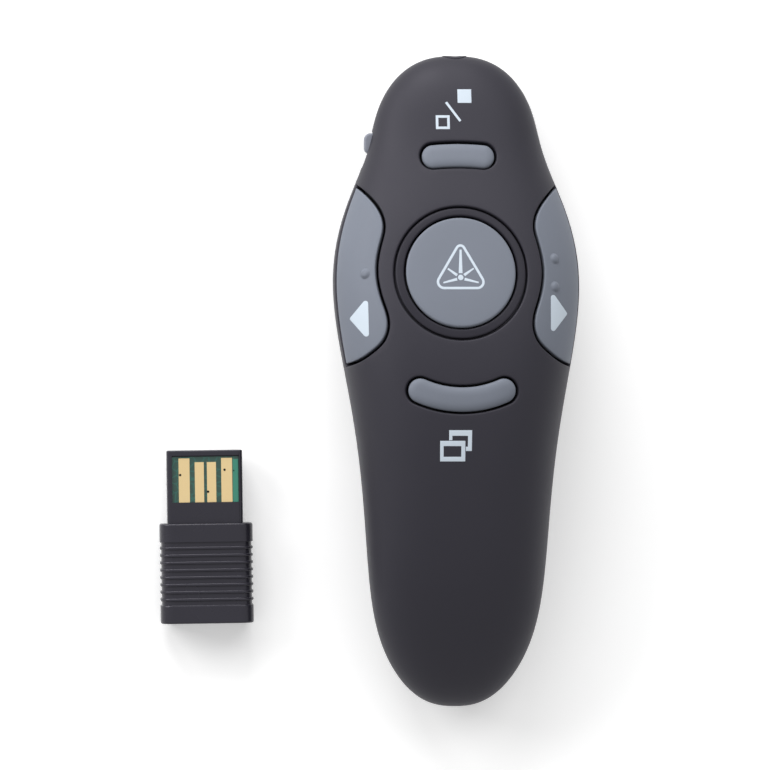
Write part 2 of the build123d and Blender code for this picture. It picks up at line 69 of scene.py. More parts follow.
# ---- keys ----------------------------------------------------------------------------
KEY_GAP = 0.28
KEY_PROUD = 0.335
LASER_Y = 17.52
LASER_KEY_Y = LASER_Y + 0.1     # the key lies a little towards the head in its ring
LASER_RADIUS = 8.95
RING_WIDTH = 1.4
RING_GROOVE = 0.3
BLANK_Y = 36.94
BLANK_ARC = 42.0
BLANK_SPAN = 12.1
BLANK_WIDTH = 3.9
WINDOW_Y = -3.0
WINDOW_SPAN = 17.8
WINDOW_WIDTH = 4.1
WINDOW_ARC = 17.0
SIDE_SILLS = {"previous": 3.2, "next": 2.9}
SILL_FALL = 0.6             # how far the sill sinks at the keys' head end
SILL_LEVEL = (10.0, 18.0)   # where it starts to sink, and over what length
SILL_CURVE = 1.5
SILL_REACH = 1.3            # share of that length at which it runs level again
SIDE_SILL_GAP = 0.6
SIDE_KEY_DRAW = 0.09        # how much the side keys' edges draw back from their openings
SIDE_EDGE = [
    (17.8, 33.0), (16.1, 31.4), (14.3, 29.5), (12.95, 27.4), (12.45, 25.1), (12.95, 22.7),
    (13.75, 18.0), (12.9, 13.0), (12.0, 9.4), (12.7, 6.7), (14.4, 4.9), (17.2, 3.1), (20.2, 2.3),
]

# ---- openings ------------------------------------------------------------------------
BORE_HEIGHT = 6.8
BORE_RADIUS = 2.0
POWER_Y = 39.0
POWER_TRAVEL = 2.0
KNOB_LENGTH = 3.4
KNOB_HEIGHT = 2.6
SLOT_GAP = 0.25
POWER_Z = 7.3
DOOR_SEAM = 4.5
SEAM_GAP = 0.15
DOOR_FRONT = 11.2
SCREW_PLACE = (9.0, 30.5)
SCREW_WELL = 2.3


def spline(knots, values):
    """Natural cubic spline, as a function that takes arrays."""
    knots = np.asarray(knots, float)
    values = np.asarray(values, float)
    step = np.diff(knots)
    slope = np.diff(values) / step
    count = len(knots)
    matrix = np.eye(count)
    right = np.zeros(count)
    for i in range(1, count - 1):
        matrix[i, i - 1:i + 2] = [step[i - 1], 2 * (step[i - 1] + step[i]), step[i]]
        right[i] = 3 * (slope[i] - slope[i - 1])
    bend = np.linalg.solve(matrix, right)

    def value(at):
        at = np.asarray(at, float)
        i = np.clip(np.searchsorted(knots, at) - 1, 0, count - 2)
        run = at - knots[i]
        first = slope[i] - step[i] * (2 * bend[i] + bend[i + 1]) / 3
        third = (bend[i + 1] - bend[i]) / (3 * step[i])
        return values[i] + run * (first + run * (bend[i] + run * third))

    return value


def along_body(points):
    return spline([share * HALF_LENGTH for share, size in points], [size for share, size in points])


half_width = along_body(HALF_WIDTH)
waist = along_body(WAIST)
crown = along_body(CROWN)
keel = along_body(KEEL)


def end_share(y, inset, power):
    return np.maximum(0.0, 1 - np.abs(y / (HALF_LENGTH - inset)) ** power) ** (1 / power)


def section_sizes(y, inset=0.0):
    """Half width, crown height and belly depth of the cross-section at Y."""
    share = end_share(y, inset, END_POWER)
    across = (half_width(y) - inset) * share
    up = (crown(y) - inset) * share
    down = (waist(y) - keel(y) - inset) * end_share(y, inset, BELLY_END_POWER)
    return across, up, down


def skin(turn, y, inset=0.0):
    """Point of the skin: turn 0 is the right waist, 90 degrees the crown, 180 the left waist."""
    turn = np.asarray(turn, float)
    y = np.asarray(y, float)
    across, up, down = section_sizes(y, inset)
    side = np.cos(turn)
    rise = np.sin(turn)
    upper = rise >= 0
    x = across * np.sign(side) * np.abs(side) ** (2 / np.where(upper, CROWN_POWERS[0], BELLY_POWERS[0]))
    lift = np.abs(rise) ** (2 / np.where(upper, CROWN_POWERS[1], BELLY_POWERS[1]))
    z = waist(y) + np.where(upper, up, -down) * lift
    z = np.where(upper, z, (z + np.sqrt(z * z + REST_BLEND ** 2)) / 2)
    return np.stack([x, y + 0 * x, z], axis=-1)


def fullness(x, y, z, inset):
    """Two shares, with a sum under 1 inside the section at Y, and whether the point is over the waist."""
    across, up, down = section_sizes(y, inset)
    rise = z - waist(y)
    upper = rise >= 0
    tiny = 1e-9
    flat_power = np.where(upper, CROWN_POWERS[0], BELLY_POWERS[0])
    high_power = np.where(upper, CROWN_POWERS[1], BELLY_POWERS[1])
    flat = (np.abs(x) / (across + tiny)) ** flat_power
    tall = (np.abs(rise) / (np.where(upper, up, down) + tiny)) ** high_power
    return flat, tall, upper


HALVINGS = 40


def halved(low, high, inside):
    """Largest values between low and high that are still inside, found by halving."""
    for _ in range(HALVINGS):
        middle = (low + high) / 2
        keep = inside(middle)
        low = np.where(keep, middle, low)
        high = np.where(keep, high, middle)
    return low


def end_station(x, z, inset, sign):
    """Y at which the skin of the head (sign 1) or of the tail (-1) passes through (x, z)."""
    def inside(reach):
        flat, tall, _ = fullness(x, sign * reach, z, inset)
        return flat + tall < 1

    return sign * halved(np.zeros_like(x), np.full_like(x, HALF_LENGTH - inset), inside)


END_ZONE = 0.92


def to_turn(points, inset):
    """Turn and Y of points that lie close to the skin."""
    x, y, z = points[:, 0], points[:, 1].copy(), points[:, 2]
    for sign in (1, -1):
        near = sign * y > END_ZONE * (HALF_LENGTH - inset)
        if near.any():
            y[near] = end_station(x[near], z[near], inset, sign)
    flat, tall, upper = fullness(x, y, z, inset)
    side = np.minimum(1, np.sqrt(flat))
    rise = np.where(upper | (z > REST_ROOM), np.sqrt(tall), np.sqrt(np.maximum(0, 1 - side ** 2)))
    turn = np.arctan2(np.where(upper, rise, -rise), side * np.where(x < 0, -1.0, 1.0))
    return np.where(turn < -TINY, turn + TAU, turn), y


def plan_turn(plan, power, inset=0.0):
    """Turn, up to 180 degrees, of the skin at plan points; the power is the section's across X."""
    side = np.minimum(1, np.abs(plan[:, 0]) / section_sizes(plan[:, 1], inset)[0]) ** (power / 2)
    return np.arccos(np.sign(plan[:, 0]) * side)


def on_crown(plan, inset=0.0):
    """Plan outline as a (turn, y) loop on the upper skin."""
    return np.stack([plan_turn(plan, CROWN_POWERS[0], inset), plan[:, 1]], -1)


def on_belly(plan):
    """Plan outline as a (turn, y) loop on the underside."""
    return np.stack([TAU - plan_turn(plan, BELLY_POWERS[0]), plan[:, 1]], -1)


def rise_turn(rise, y):
    """Turn on the right side at a height above the waist."""
    return np.arcsin(np.clip(rise / section_sizes(y)[1], 0, 1) ** (CROWN_POWERS[1] / 2))


def drop_turn(drop, y):
    """The same below the waist, as a positive angle."""
    return np.arcsin(np.clip(drop / section_sizes(y)[2], 0, 1) ** (BELLY_POWERS[1] / 2))


# ---- flat map of the skin, for triangulation ---------------------------------------------
MAP_SPREAD = 17.0
LEAST_SHARE = 1e-4          # keeps the map open at the poles


def to_map(turn, y, centre):
    across = (centre - turn) * MAP_SPREAD * end_share(y, 0.0, END_POWER)
    return np.stack([across, HALF_LENGTH * np.arcsin(np.clip(y / HALF_LENGTH, -1, 1))], -1)


def from_map(flat, centre):
    y = HALF_LENGTH * np.sin(flat[:, 1] / HALF_LENGTH)
    share = np.maximum(LEAST_SHARE, end_share(y, 0.0, END_POWER))
    return centre - flat[:, 0] / (MAP_SPREAD * share), y


def area(flat):
    x, y = flat[:, 0], flat[:, 1]
    return float(np.sum(x * np.roll(y, -1) - np.roll(x, -1) * y)) / 2


def inside_loop(points, loop):
    """Even-odd test of many points against one closed loop."""
    result = np.zeros(len(points), bool)
    px, py = points[:, 0], points[:, 1]
    for (x0, y0), (x1, y1) in zip(loop, np.roll(loop, -1, axis=0)):
        if y0 == y1:
            continue
        crosses = ((y0 > py) != (y1 > py)) & (px < (x1 - x0) * (py - y0) / (y1 - y0) + x0)
        result ^= crosses
    return result


def enclosed(points, loops):
    """Which points lie inside the first loop and outside the others."""
    keep = inside_loop(points, loops[0])
    for loop in loops[1:]:
        keep &= ~inside_loop(points, loop)
    return keep


def run_along(points):
    """Distance along a row of points, from its start to each of them."""
    return np.concatenate([[0], np.cumsum(np.linalg.norm(np.diff(points, axis=0), axis=1))])


LEAST_POINTS = 12


def even_loop(loop, inset, step):
    """Resample a closed (turn, y) loop at even steps along the skin."""
    turn, y = np.append(loop, loop[:1], axis=0).T
    run = run_along(skin(turn, y, inset))
    count = max(LEAST_POINTS, int(round(run[-1] / step)))
    at = np.linspace(0, run[-1], count, endpoint=False)
    return np.stack([np.interp(at, run, turn), np.interp(at, run, y)], -1)


def unit(vectors):
    return vectors / np.maximum(TINY ** 2, np.linalg.norm(vectors, axis=-1, keepdims=True))


TURN_STEP = 1e-3
ALONG_STEP = 0.01
POLE_SHARE = 0.9995         # normals are taken no nearer to the poles than this


def skin_normal(turn, y, inset):
    """Outward normal, from small steps along the skin."""
    limit = (HALF_LENGTH - inset) * POLE_SHARE
    y = np.clip(y, -limit, limit)
    across_step = skin(turn + TURN_STEP, y, inset) - skin(turn - TURN_STEP, y, inset)
    ahead, behind = (np.clip(y + step, -limit, limit) for step in (ALONG_STEP, -ALONG_STEP))
    return unit(np.cross(skin(turn, ahead, inset) - skin(turn, behind, inset), across_step))


# ---- solids that follow the skin ----------------------------------------------------------
EDGE_STEPS = 6
EDGE_ROOM = 0.8             # share of the room at a narrow tip that the rounded edge may take
EDGE_EASINGS = 3            # how often the edge's width is evened out along the outline
INNER_EDGE = 0.05           # of pieces that hardly show
ROW_PITCH = 0.866           # rows of an even triangular lattice, as a share of its step
LATTICE_MARGIN = 0.45       # lattice points nearer to an outline than this share are left out
WELD = 1e-7


def edge_room(points, inward):
    """Radius of the largest disc that touches the outline at each point and stays inside it."""
    room = np.full(len(points), np.inf)
    for i, (point, way) in enumerate(zip(points, inward)):
        apart = points - point
        depth = apart @ way
        square = (apart ** 2).sum(1)
        facing = (depth > TINY) & (square > TINY)
        if facing.any():
            room[i] = (square[facing] / (2 * depth[facing])).min()
    return room


def bridged(low, high):
    """Quads between two closed rows of vertices."""
    return list(zip(low, np.roll(low, -1), np.roll(high, -1), high))


def lattice_points(loops, step):
    """Even lattice inside the first flat loop and outside the others, clear of them all."""
    low, high = loops[0].min(0), loops[0].max(0)
    rows = []
    for number, v in enumerate(np.arange(low[1], high[1], step * ROW_PITCH)):
        u = np.arange(low[0] + number % 2 * step / 2, high[0], step)
        rows.append(np.stack([u, np.full_like(u, v)], -1))
    grid = np.concatenate(rows)
    grid = grid[enclosed(grid, loops)]
    outlines = np.concatenate(loops)
    tree = kdtree.KDTree(len(outlines))
    for i, (u, v) in enumerate(outlines):
        tree.insert((u, v, 0), i)
    tree.balance()
    clear = [tree.find((u, v, 0))[2] > step * LATTICE_MARGIN for u, v in grid]
    return grid[np.array(clear, bool)]


def skin_piece(name, outer, holes=(), edge=INNER_EDGE, proud=0.0, depth=WALL, lattice=0.8,
               step=0.3, centre=math.pi / 2, even=True, roll=None, hole_edge=None):
    """Closed solid that follows the skin inside a loop, with holes, rounded edges and square walls.

    The edge drops by edge over a width of roll, which is as wide as it is deep unless given.
    The holes' edges may be rounded by an amount of their own."""
    edges = [(edge, roll or edge)] + [(hole_edge or edge, hole_edge or roll or edge)] * len(holes)
    inset = -proud
    vertices, faces = [], []

    def add(points):
        start = len(vertices)
        vertices.extend(points.tolist())
        return np.arange(start, len(vertices))

    rims, flat_loops, under = [], [], []
    for number, (loop, (edge, roll)) in enumerate(zip([outer, *holes], edges)):
        if even:
            loop = even_loop(loop, inset, step)
        leftward = area(to_map(loop[:, 0], loop[:, 1], centre)) > 0
        turn, y = (loop if leftward == (number == 0) else loop[::-1]).T
        points = skin(turn, y, inset)
        normal = skin_normal(turn, y, inset)
        inward = unit(np.cross(normal, unit(np.roll(points, -1, axis=0) - np.roll(points, 1, axis=0))))
        room = np.minimum(roll, edge_room(points, inward) * EDGE_ROOM)
        for _ in range(EDGE_EASINGS):
            room = np.minimum(room, (np.roll(room, 1) + room + np.roll(room, -1)) / 3)
        room = room[:, None]
        drop = room * edge / roll
        bottom = add(points - normal * depth)
        rim = bottom
        for angle in np.linspace(0, math.pi / 2, EDGE_STEPS + 1):
            turn, y = to_turn(points + inward * room * (1 - math.cos(angle)), inset)
            above = add(skin(turn, y, inset) - normal * drop * (1 - math.sin(angle)))
            faces += bridged(rim, above)
            rim = above
        rims.append((bottom, rim))
        flat_loops.append(to_map(turn, y, centre))
        under.append(skin(turn, y, inset) - skin_normal(turn, y, inset) * depth)

    grid = lattice_points(flat_loops, lattice)
    turn, y = from_map(grid, centre)
    middle = skin(turn, y, inset)
    top = np.concatenate([rim for bottom, rim in rims] + [add(middle)])
    under = add(np.concatenate([*under, middle - skin_normal(turn, y, inset) * depth]))
    outline_edges = []
    start = 0
    for bottom, rim in rims:
        row = np.arange(start, start + len(rim))
        outline_edges += zip(row.tolist(), np.roll(row, -1).tolist())
        faces += bridged(under[row], bottom)
        start += len(rim)
    flat = [Vector(point) for point in np.concatenate([*flat_loops, grid]).tolist()]
    corners, _, triangles, origins, _, _ = delaunay_2d_cdt(flat, outline_edges, [], 0, WELD)
    triangles = np.array(triangles)
    middles = np.array([tuple(corner) for corner in corners])[triangles].mean(1)
    for triangle in triangles[enclosed(middles, flat_loops)]:
        given = [origins[k][0] for k in triangle]
        faces += [top[given], under[given][::-1]]
    return mesh_object(name, vertices, faces)


def placed(name, data):
    """New object in the scene."""
    made = bpy.data.objects.new(name, data)
    scene.collection.objects.link(made)
    return made


def mesh_object(name, vertices, faces):
    """Object at the origin from millimetre points, with its faces turned outwards."""
    mesh = bpy.data.meshes.new(name)
    mesh.from_pydata((np.array(vertices) * MM).tolist(), [], [[int(i) for i in face] for face in faces])
    work = bmesh.new()
    work.from_mesh(mesh)
    bmesh.ops.remove_doubles(work, verts=work.verts, dist=WELD)
    bmesh.ops.dissolve_degenerate(work, edges=work.edges, dist=WELD)
    bmesh.ops.recalc_face_normals(work, faces=work.faces)
    work.to_mesh(mesh)
    work.free()
    mesh.shade_smooth()
    return placed(name, mesh)


def lofted(name, rows, closed=False):
    """Solid from rows of points, each a ring: the end rows are capped, or meet in a closed round."""
    rows = np.array(rows, float)
    number = np.arange(rows.shape[0] * rows.shape[1]).reshape(rows.shape[:2])
    faces = []
    for low, high in zip(number, number[1:]):
        faces += bridged(low, high)
    faces += bridged(number[-1], number[0]) if closed else [number[0][::-1], number[-1]]
    return mesh_object(name, rows.reshape(-1, 3), faces)


# ---- plan outlines ------------------------------------------------------------------------
def around(x, y, radius, turns):
    """Points at one distance from (x, y)."""
    return np.stack([x + radius * np.cos(turns), y + radius * np.sin(turns)], -1)


def circle_plan(radius, x=0.0, y=LASER_Y, count=240):
    return around(x, y, radius, np.linspace(0, TAU, count, endpoint=False))


def arc_plan(centre_y, radius, middle, span, width, grow, count=60):
    """Outline of a round-ended slot bent along an arc about (0, centre_y)."""
    half_turn = math.asin((span - width) / 2 / radius)
    half = width / 2 + grow
    turns = middle + np.linspace(-half_turn, half_turn, count)
    cap = np.linspace(0, math.pi, count // 2)[1:-1]
    first, last = around(0.0, 0.0, radius, turns[[0, -1]])
    return np.concatenate([
        around(0.0, 0.0, radius + half, turns), around(*last, half, turns[-1] + cap),
        around(0.0, 0.0, radius - half, turns[::-1]), around(*first, half, turns[0] + math.pi + cap),
    ]) + [0, centre_y]


def blank_plan(grow):
    return arc_plan(BLANK_Y - BLANK_ARC, BLANK_ARC, math.pi / 2, BLANK_SPAN, BLANK_WIDTH, grow)


def window_plan(grow):
    return arc_plan(WINDOW_Y + WINDOW_ARC, WINDOW_ARC, -math.pi / 2, WINDOW_SPAN, WINDOW_WIDTH, grow)


def side_inner_edge(grow, count=400):
    """Wavy inner edge of the right side key, from its head tip to its tail tip."""
    control = np.array(SIDE_EDGE)
    run = run_along(control)
    at = np.linspace(0, run[-1], count)
    line = np.stack([spline(run, control[:, 0])(at), spline(run, control[:, 1])(at)], -1)
    heading = unit(np.gradient(line, axis=0))
    return line + np.stack([heading[:, 1], -heading[:, 0]], -1) * grow


def sill_turn(sill, y):
    """Turn of a side key's lower edge: level over the waist, then falling towards the head."""
    share = np.clip((y - SILL_LEVEL[0]) / SILL_LEVEL[1], 0, SILL_REACH)
    return rise_turn(sill - SILL_FALL * share ** SILL_CURVE, y)


JUST_INSIDE = 0.9999


def side_loop(grow, sill, left, count=300):
    """Outline of a side key as a (turn, y) loop."""
    line = side_inner_edge(grow)
    line = line[line[:, 0] < section_sizes(line[:, 1])[0] * JUST_INSIDE]
    edge = on_crown(line)
    above = edge[:, 0] - sill_turn(sill, line[:, 1])
    inside = np.nonzero(above > 0)[0]
    first, last = inside[0], inside[-1]

    def crossing(i, j):
        return edge[i] + above[i] / (above[i] - above[j]) * (edge[j] - edge[i])

    head, tail = crossing(first, first - 1), crossing(last, last + 1)
    y = np.linspace(tail[1], head[1], count)[1:-1]
    outer = np.stack([sill_turn(sill, y), y], -1)
    loop = np.concatenate([[head], edge[first:last + 1], [tail], outer])
    if left:
        loop[:, 0] = math.pi - loop[:, 0]
    return loop


# ---- outlines across the seam, at the nose and at the tail --------------------------------
END_EASE = 2.5
SLOT_HEAD = POWER_Y + KNOB_LENGTH / 2 + SLOT_GAP
SLOT_TAIL = POWER_Y - KNOB_LENGTH / 2 - POWER_TRAVEL - SLOT_GAP
SLOT_HALF = KNOB_HEIGHT / 2 + SLOT_GAP
SLOT_CORNER = 0.35


def eased(start, stop, count=500):
    """Y stations that crowd together towards the pole of each end."""
    share = np.linspace(-1, 1, count)
    y = HALF_LENGTH * np.sign(share) * (1 - (1 - np.abs(share)) ** END_EASE)
    low, high = sorted((start, stop))
    y = np.concatenate([[low], y[(y > low) & (y < high)], [high]])
    return y if stop > start else y[::-1]


def bore_arc(upper, count=200):
    """Edge of the nose bore from the right waist to the left one, over or under the beam."""
    turns = np.linspace(0, math.pi, count) * (1 if upper else -1)
    x, z = around(0.0, BORE_HEIGHT, BORE_RADIUS, turns).T
    turn, y = to_turn(np.stack([x, np.full_like(x, HALF_LENGTH), z], -1), 0.0)
    if upper:
        keep = (turn > 0) & (turn < math.pi) & (z > waist(y))
    else:
        keep = (turn > math.pi) & (turn < TAU) & (z < waist(y))
    return np.stack([turn, y], -1)[keep]


def slot_depth(y, upper):
    """How far the power slot reaches above or below the waist line, with round corners."""
    full = POWER_Z + SLOT_HALF - waist(y) if upper else waist(y) - (POWER_Z - SLOT_HALF)
    edge = np.minimum(y - SLOT_TAIL, SLOT_HEAD - y)
    short = np.clip(edge / SLOT_CORNER, 0, 1)
    return full - SLOT_CORNER * (1 - np.sqrt(1 - (1 - short) ** 2))


def seam_loop(upper, count=60):
    """The seam of a shell: right side, nose bore, left side with the power slot, tail."""
    def level(turn, start, stop):
        y = eased(start, stop)
        return np.stack([np.full_like(y, turn), y], -1)

    arc = bore_arc(upper)
    slot_y = np.linspace(SLOT_HEAD, SLOT_TAIL, count)
    depth = slot_depth(slot_y, upper)
    slot_turn = math.pi + (-rise_turn(depth, slot_y) if upper else drop_turn(depth, slot_y))
    return np.concatenate([
        level(0.0 if upper else TAU, -HALF_LENGTH, arc[0, 1]), arc, level(math.pi, arc[-1, 1], SLOT_HEAD),
        np.stack([slot_turn, slot_y], -1), level(math.pi, SLOT_TAIL, -HALF_LENGTH),
    ])


def door_loop(gap, count=900):
    """Edge of the battery door: across the belly, back along each side and round the tail."""
    height = DOOR_SEAM - gap

    def below_seam(reach):
        return section_sizes(-reach)[2] > waist(-reach) - height

    tail = -float(halved(HALF_LENGTH * END_ZONE, HALF_LENGTH, below_seam))
    y = eased(DOOR_FRONT - gap, tail, count)
    side = drop_turn(waist(y) - height, y)
    return np.concatenate([np.stack([TAU - side, y], -1), np.stack([math.pi + side, y], -1)[::-1]])


# ---- finishes ------------------------------------------------------------------------------
def linear(code):
    """Linear colour of an sRGB hex value."""
    parts = [int(code[i:i + 2], 16) / 255 for i in (1, 3, 5)]
    return tuple(c / 12.92 if c <= 0.04045 else ((c + 0.055) / 1.055) ** 2.4 for c in parts) + (1.0,)


def feed(tree, node, inputs):
    """Give a node's inputs their values, or link them to sockets, to nodes or to a list of nodes."""
    for key, given in inputs.items():
        for source in given if isinstance(given, list) else [given]:
            if isinstance(source, bpy.types.Node):
                source = source.outputs[0]
            if isinstance(source, bpy.types.NodeSocket):
                tree.links.new(source, node.inputs[key])
            else:
                node.inputs[key].default_value = source


def add_node(tree, kind, inputs=None, **settings):
    """Add one node with its settings and inputs."""
    made = tree.nodes.new(kind)
    for key, value in settings.items():
        setattr(made, key, value)
    feed(tree, made, inputs or {})
    return made


def blank_material(name):
    material = bpy.data.materials.new(name)
    material.use_nodes = True
    tree = material.node_tree
    shader = tree.nodes["Principled BSDF"]
    place = add_node(tree, "ShaderNodeTexCoord").outputs["Object"]
    return material, tree, shader, place


def mottled(tree, marks, colour, worn, roughness, spread):
    """Base colour and roughness that drift with a pattern of marks."""
    tint = add_node(tree, "ShaderNodeMix", {
        "Factor": marks, 6: linear(colour), 7: linear(worn)}, data_type="RGBA")
    gloss = add_node(tree, "ShaderNodeMapRange", {
        "Value": marks, "From Min": 0.3, "From Max": 0.7,
        "To Min": roughness - spread, "To Max": roughness + spread})
    return {"Base Color": tint.outputs[2], "Roughness": gloss}


CLOUD = 9.0                 # size of the slow clouds in a moulding's colour and gloss
PLAIN_TINT = (1.0, 1.0, 1.0, 1.0)
VIOLET_SHEEN = (0.93, 0.91, 1.0, 1.0)


def moulded(name, colour, worn, roughness, spread, grain, grain_depth, specular=0.5, tint=PLAIN_TINT,
            metallic=0.0, coat=0.0):
    """Moulded or sprayed plastic: a fine spark-eroded grain, with slow clouds in colour and gloss."""
    material, tree, shader, place = blank_material(name)
    clouds = add_node(tree, "ShaderNodeTexNoise", {
        "Vector": place, "Scale": 1 / MM / CLOUD, "Detail": 3.0, "Roughness": 0.55})
    grains = add_node(tree, "ShaderNodeTexNoise", {
        "Vector": place, "Scale": 1 / MM / grain, "Detail": 2.0, "Roughness": 0.6})
    bump = add_node(tree, "ShaderNodeBump", {
        "Height": grains, "Strength": 0.5, "Distance": grain_depth * MM})
    feed(tree, shader, mottled(tree, clouds, colour, worn, roughness, spread))
    feed(tree, shader, {
        "Normal": bump, "Specular IOR Level": specular, "Specular Tint": tint, "Metallic": metallic,
        "Coat Weight": coat, "Coat Roughness": 0.1})
    return material


def metal(name, colour, worn, roughness, spread, scratch):
    """Drawn or plated metal: fine marks along one way that break up the gloss."""
    material, tree, shader, place = blank_material(name)
    stretched = add_node(tree, "ShaderNodeMapping", {"Vector": place, "Scale": (1.0, 0.12, 1.0)})
    marks = add_node(tree, "ShaderNodeTexNoise", {
        "Vector": stretched, "Scale": 1 / MM / scratch, "Detail": 4.0})
    bump = add_node(tree, "ShaderNodeBump", {"Height": marks, "Strength": 0.3, "Distance": 0.01 * MM})
    feed(tree, shader, mottled(tree, marks, colour, worn, roughness, spread))
    feed(tree, shader, {"Normal": bump, "Metallic": 1.0})
    return material


# Charcoal satin ABS, moulded in a fine spark-eroded tool: a soft grey sheen with no sharp highlight.
shell_abs = moulded("satin_charcoal_abs", "#25242b", "#29282f", 0.52, 0.03, 0.35, 0.02,
                    specular=0.28, tint=VIOLET_SHEEN)
# Grey satin paint over ABS keys: smooth and slightly silvery, with a soft broad highlight.
key_paint = moulded("satin_grey_key_paint", "#6f747e", "#747984", 0.48, 0.02, 0.3, 0.006, specular=0.12)
# Half-gloss black ABS trim: dark, with a narrow clear line of light along its rounded edges.
trim_gloss = moulded("half_gloss_black_abs", "#28272e", "#2c2b31", 0.36, 0.03, 0.5, 0.002,
                     specular=0.13, tint=VIOLET_SHEEN)
# Natural black ABS on inner ribs and bays: dull, as moulded.
inner_abs = moulded("plain_black_abs", "#1d1c21", "#232227", 0.6, 0.05, 0.5, 0.02)
# Grey moulded switch knob: smooth, with a fairly clear highlight.
knob_abs = moulded("moulded_grey_abs", "#7c7f8a", "#82858f", 0.42, 0.03, 0.3, 0.006, specular=0.2)
# Half-matt black receiver housing: dark and even, with a soft sheen along its edges.
receiver_abs = moulded("half_matt_black_abs", "#222128", "#26252d", 0.27, 0.03, 0.25, 0.01,
                       specular=0.36, tint=VIOLET_SHEEN)
# White pad-printed ink: thin, opaque and slightly rough.
print_ink = moulded("white_pad_print", "#c0cbd6", "#c6d0da", 0.6, 0.03, 0.2, 0.004, specular=0.1)
# Black epoxy chip package: dull and even.
chip_epoxy = moulded("black_epoxy", "#1b1b1d", "#232326", 0.5, 0.05, 0.2, 0.008)
# Blue shrink film on the cells: smooth and glossy.
cell_film = moulded("shrink_film", "#3c6e9a", "#4277a3", 0.25, 0.03, 2.0, 0.01, coat=0.4)
# Nickel plate on springs, contacts, screws and the crystal's can: bright, with faint drawn marks.
nickel = metal("nickel_plated_steel", "#b9b7b2", "#a7a5a0", 0.28, 0.06, 0.4)
# Hard gold flash over copper pads: frosted by the copper's grain, it scatters more than it mirrors.
gold_plate = moulded("gold_flashed_copper", "#dec796", "#d8be8b", 0.42, 0.04, 0.12, 0.01, metallic=0.45)
# Turned brass of the laser module: warm and bright, with fine marks from the lathe.
brass = metal("turned_brass", "#c9a558", "#b8934a", 0.3, 0.06, 0.4)

TRACK_PITCH = 1.3


def solder_mask(name, over_copper, over_glass):
    """Solder mask over copper: a glossy film, with tracks that stand out lighter beneath it."""
    material, tree, shader, place = blank_material(name)
    cells = add_node(tree, "ShaderNodeTexVoronoi", {
        "Vector": place, "Scale": 1 / MM / TRACK_PITCH}, distance="MANHATTAN", feature="DISTANCE_TO_EDGE")
    track = add_node(tree, "ShaderNodeMapRange", {"Value": cells, "From Min": 0.04, "From Max": 0.09})
    tint = add_node(tree, "ShaderNodeMix", {
        "Factor": track, 6: linear(over_copper), 7: linear(over_glass)}, data_type="RGBA")
    bump = add_node(tree, "ShaderNodeBump", {
        "Height": track, "Strength": 0.3, "Distance": 0.02 * MM}, invert=True)
    feed(tree, shader, {"Base Color": tint.outputs[2], "Normal": bump, "Roughness": 0.33})
    return material


# Green mask of the receiver's board: tracks show as a slightly brighter green.
green_mask = solder_mask("green_solder_mask", "#285a50", "#27473f")
# Black mask of the inner boards: nearly even, with a glossy film.
black_mask = solder_mask("black_solder_mask", "#1a1d1c", "#151716")
# Solder mask over a copper pour: the metal beneath makes the same green brighter.
green_pour = moulded("green_mask_over_copper", "#2f7a66", "#37826e", 0.35, 0.03, 0.4, 0.006)
# Painted shade: a flat near-black patch stands in for the unlit inside of a plated hole.
hole_shade_paint = moulded("plated_hole_shade", "#0c0c0e", "#121214", 0.7, 0.03, 0.2, 0.004, specular=0.1)


LENS_RIPPLE = 2.5


def lens_glass():
    """Moulded acrylic lens: clear, with a faint ripple."""
    material, tree, shader, place = blank_material("clear_acrylic")
    ripple = add_node(tree, "ShaderNodeTexNoise", {
        "Vector": place, "Scale": 1 / MM / LENS_RIPPLE, "Detail": 1.0})
    bump = add_node(tree, "ShaderNodeBump", {"Height": ripple, "Strength": 0.1, "Distance": 0.01 * MM})
    feed(tree, shader, {
        "Normal": bump, "Base Color": linear("#d8e2e6"), "Roughness": 0.05, "IOR": 1.49,
        "Transmission Weight": 0.9})
    return material


lens_clear = lens_glass()


def dress(piece, material, body, slot, *nodes):
    """Give a finished piece its material and the body it rides on, and hide the CAD nodes it stands for."""
    piece.data.materials.clear()
    piece.data.materials.append(material)
    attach(piece, body)
    if nodes:
        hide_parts(*nodes)
    return piece


# ---- pieces that node trees make ------------------------------------------------------------
def maker_tree(name, floats, vectors=()):
    """Geometry tree for a row of pieces, and its named inputs."""
    tree = bpy.data.node_groups.new(name, "GeometryNodeTree")
    tree.interface.new_socket("Geometry", in_out="OUTPUT", socket_type="NodeSocketGeometry")
    kinds = {"Int": ["Count"], "Vector": ["First", "Step", *vectors], "Float": floats, "Material": ["Finish"]}
    for kind, labels in kinds.items():
        for label in labels:
            tree.interface.new_socket(label, in_out="INPUT", socket_type=f"NodeSocket{kind}")
    return tree, add_node(tree, "NodeGroupInput").outputs


def repeated(tree, given, piece):
    """Repeat a piece along the row, as real pieces with their finish."""
    row = add_node(tree, "GeometryNodeMeshLine", {
        "Count": given["Count"], "Start Location": given["First"], "Offset": given["Step"]}, mode="OFFSET")
    copies = add_node(tree, "GeometryNodeInstanceOnPoints", {"Points": row, "Instance": piece})
    solid = add_node(tree, "GeometryNodeRealizeInstances", {"Geometry": copies})
    dressed = add_node(tree, "GeometryNodeSetMaterial", {"Geometry": solid, "Material": given["Finish"]})
    add_node(tree, "NodeGroupOutput", {"Geometry": dressed})
    return tree


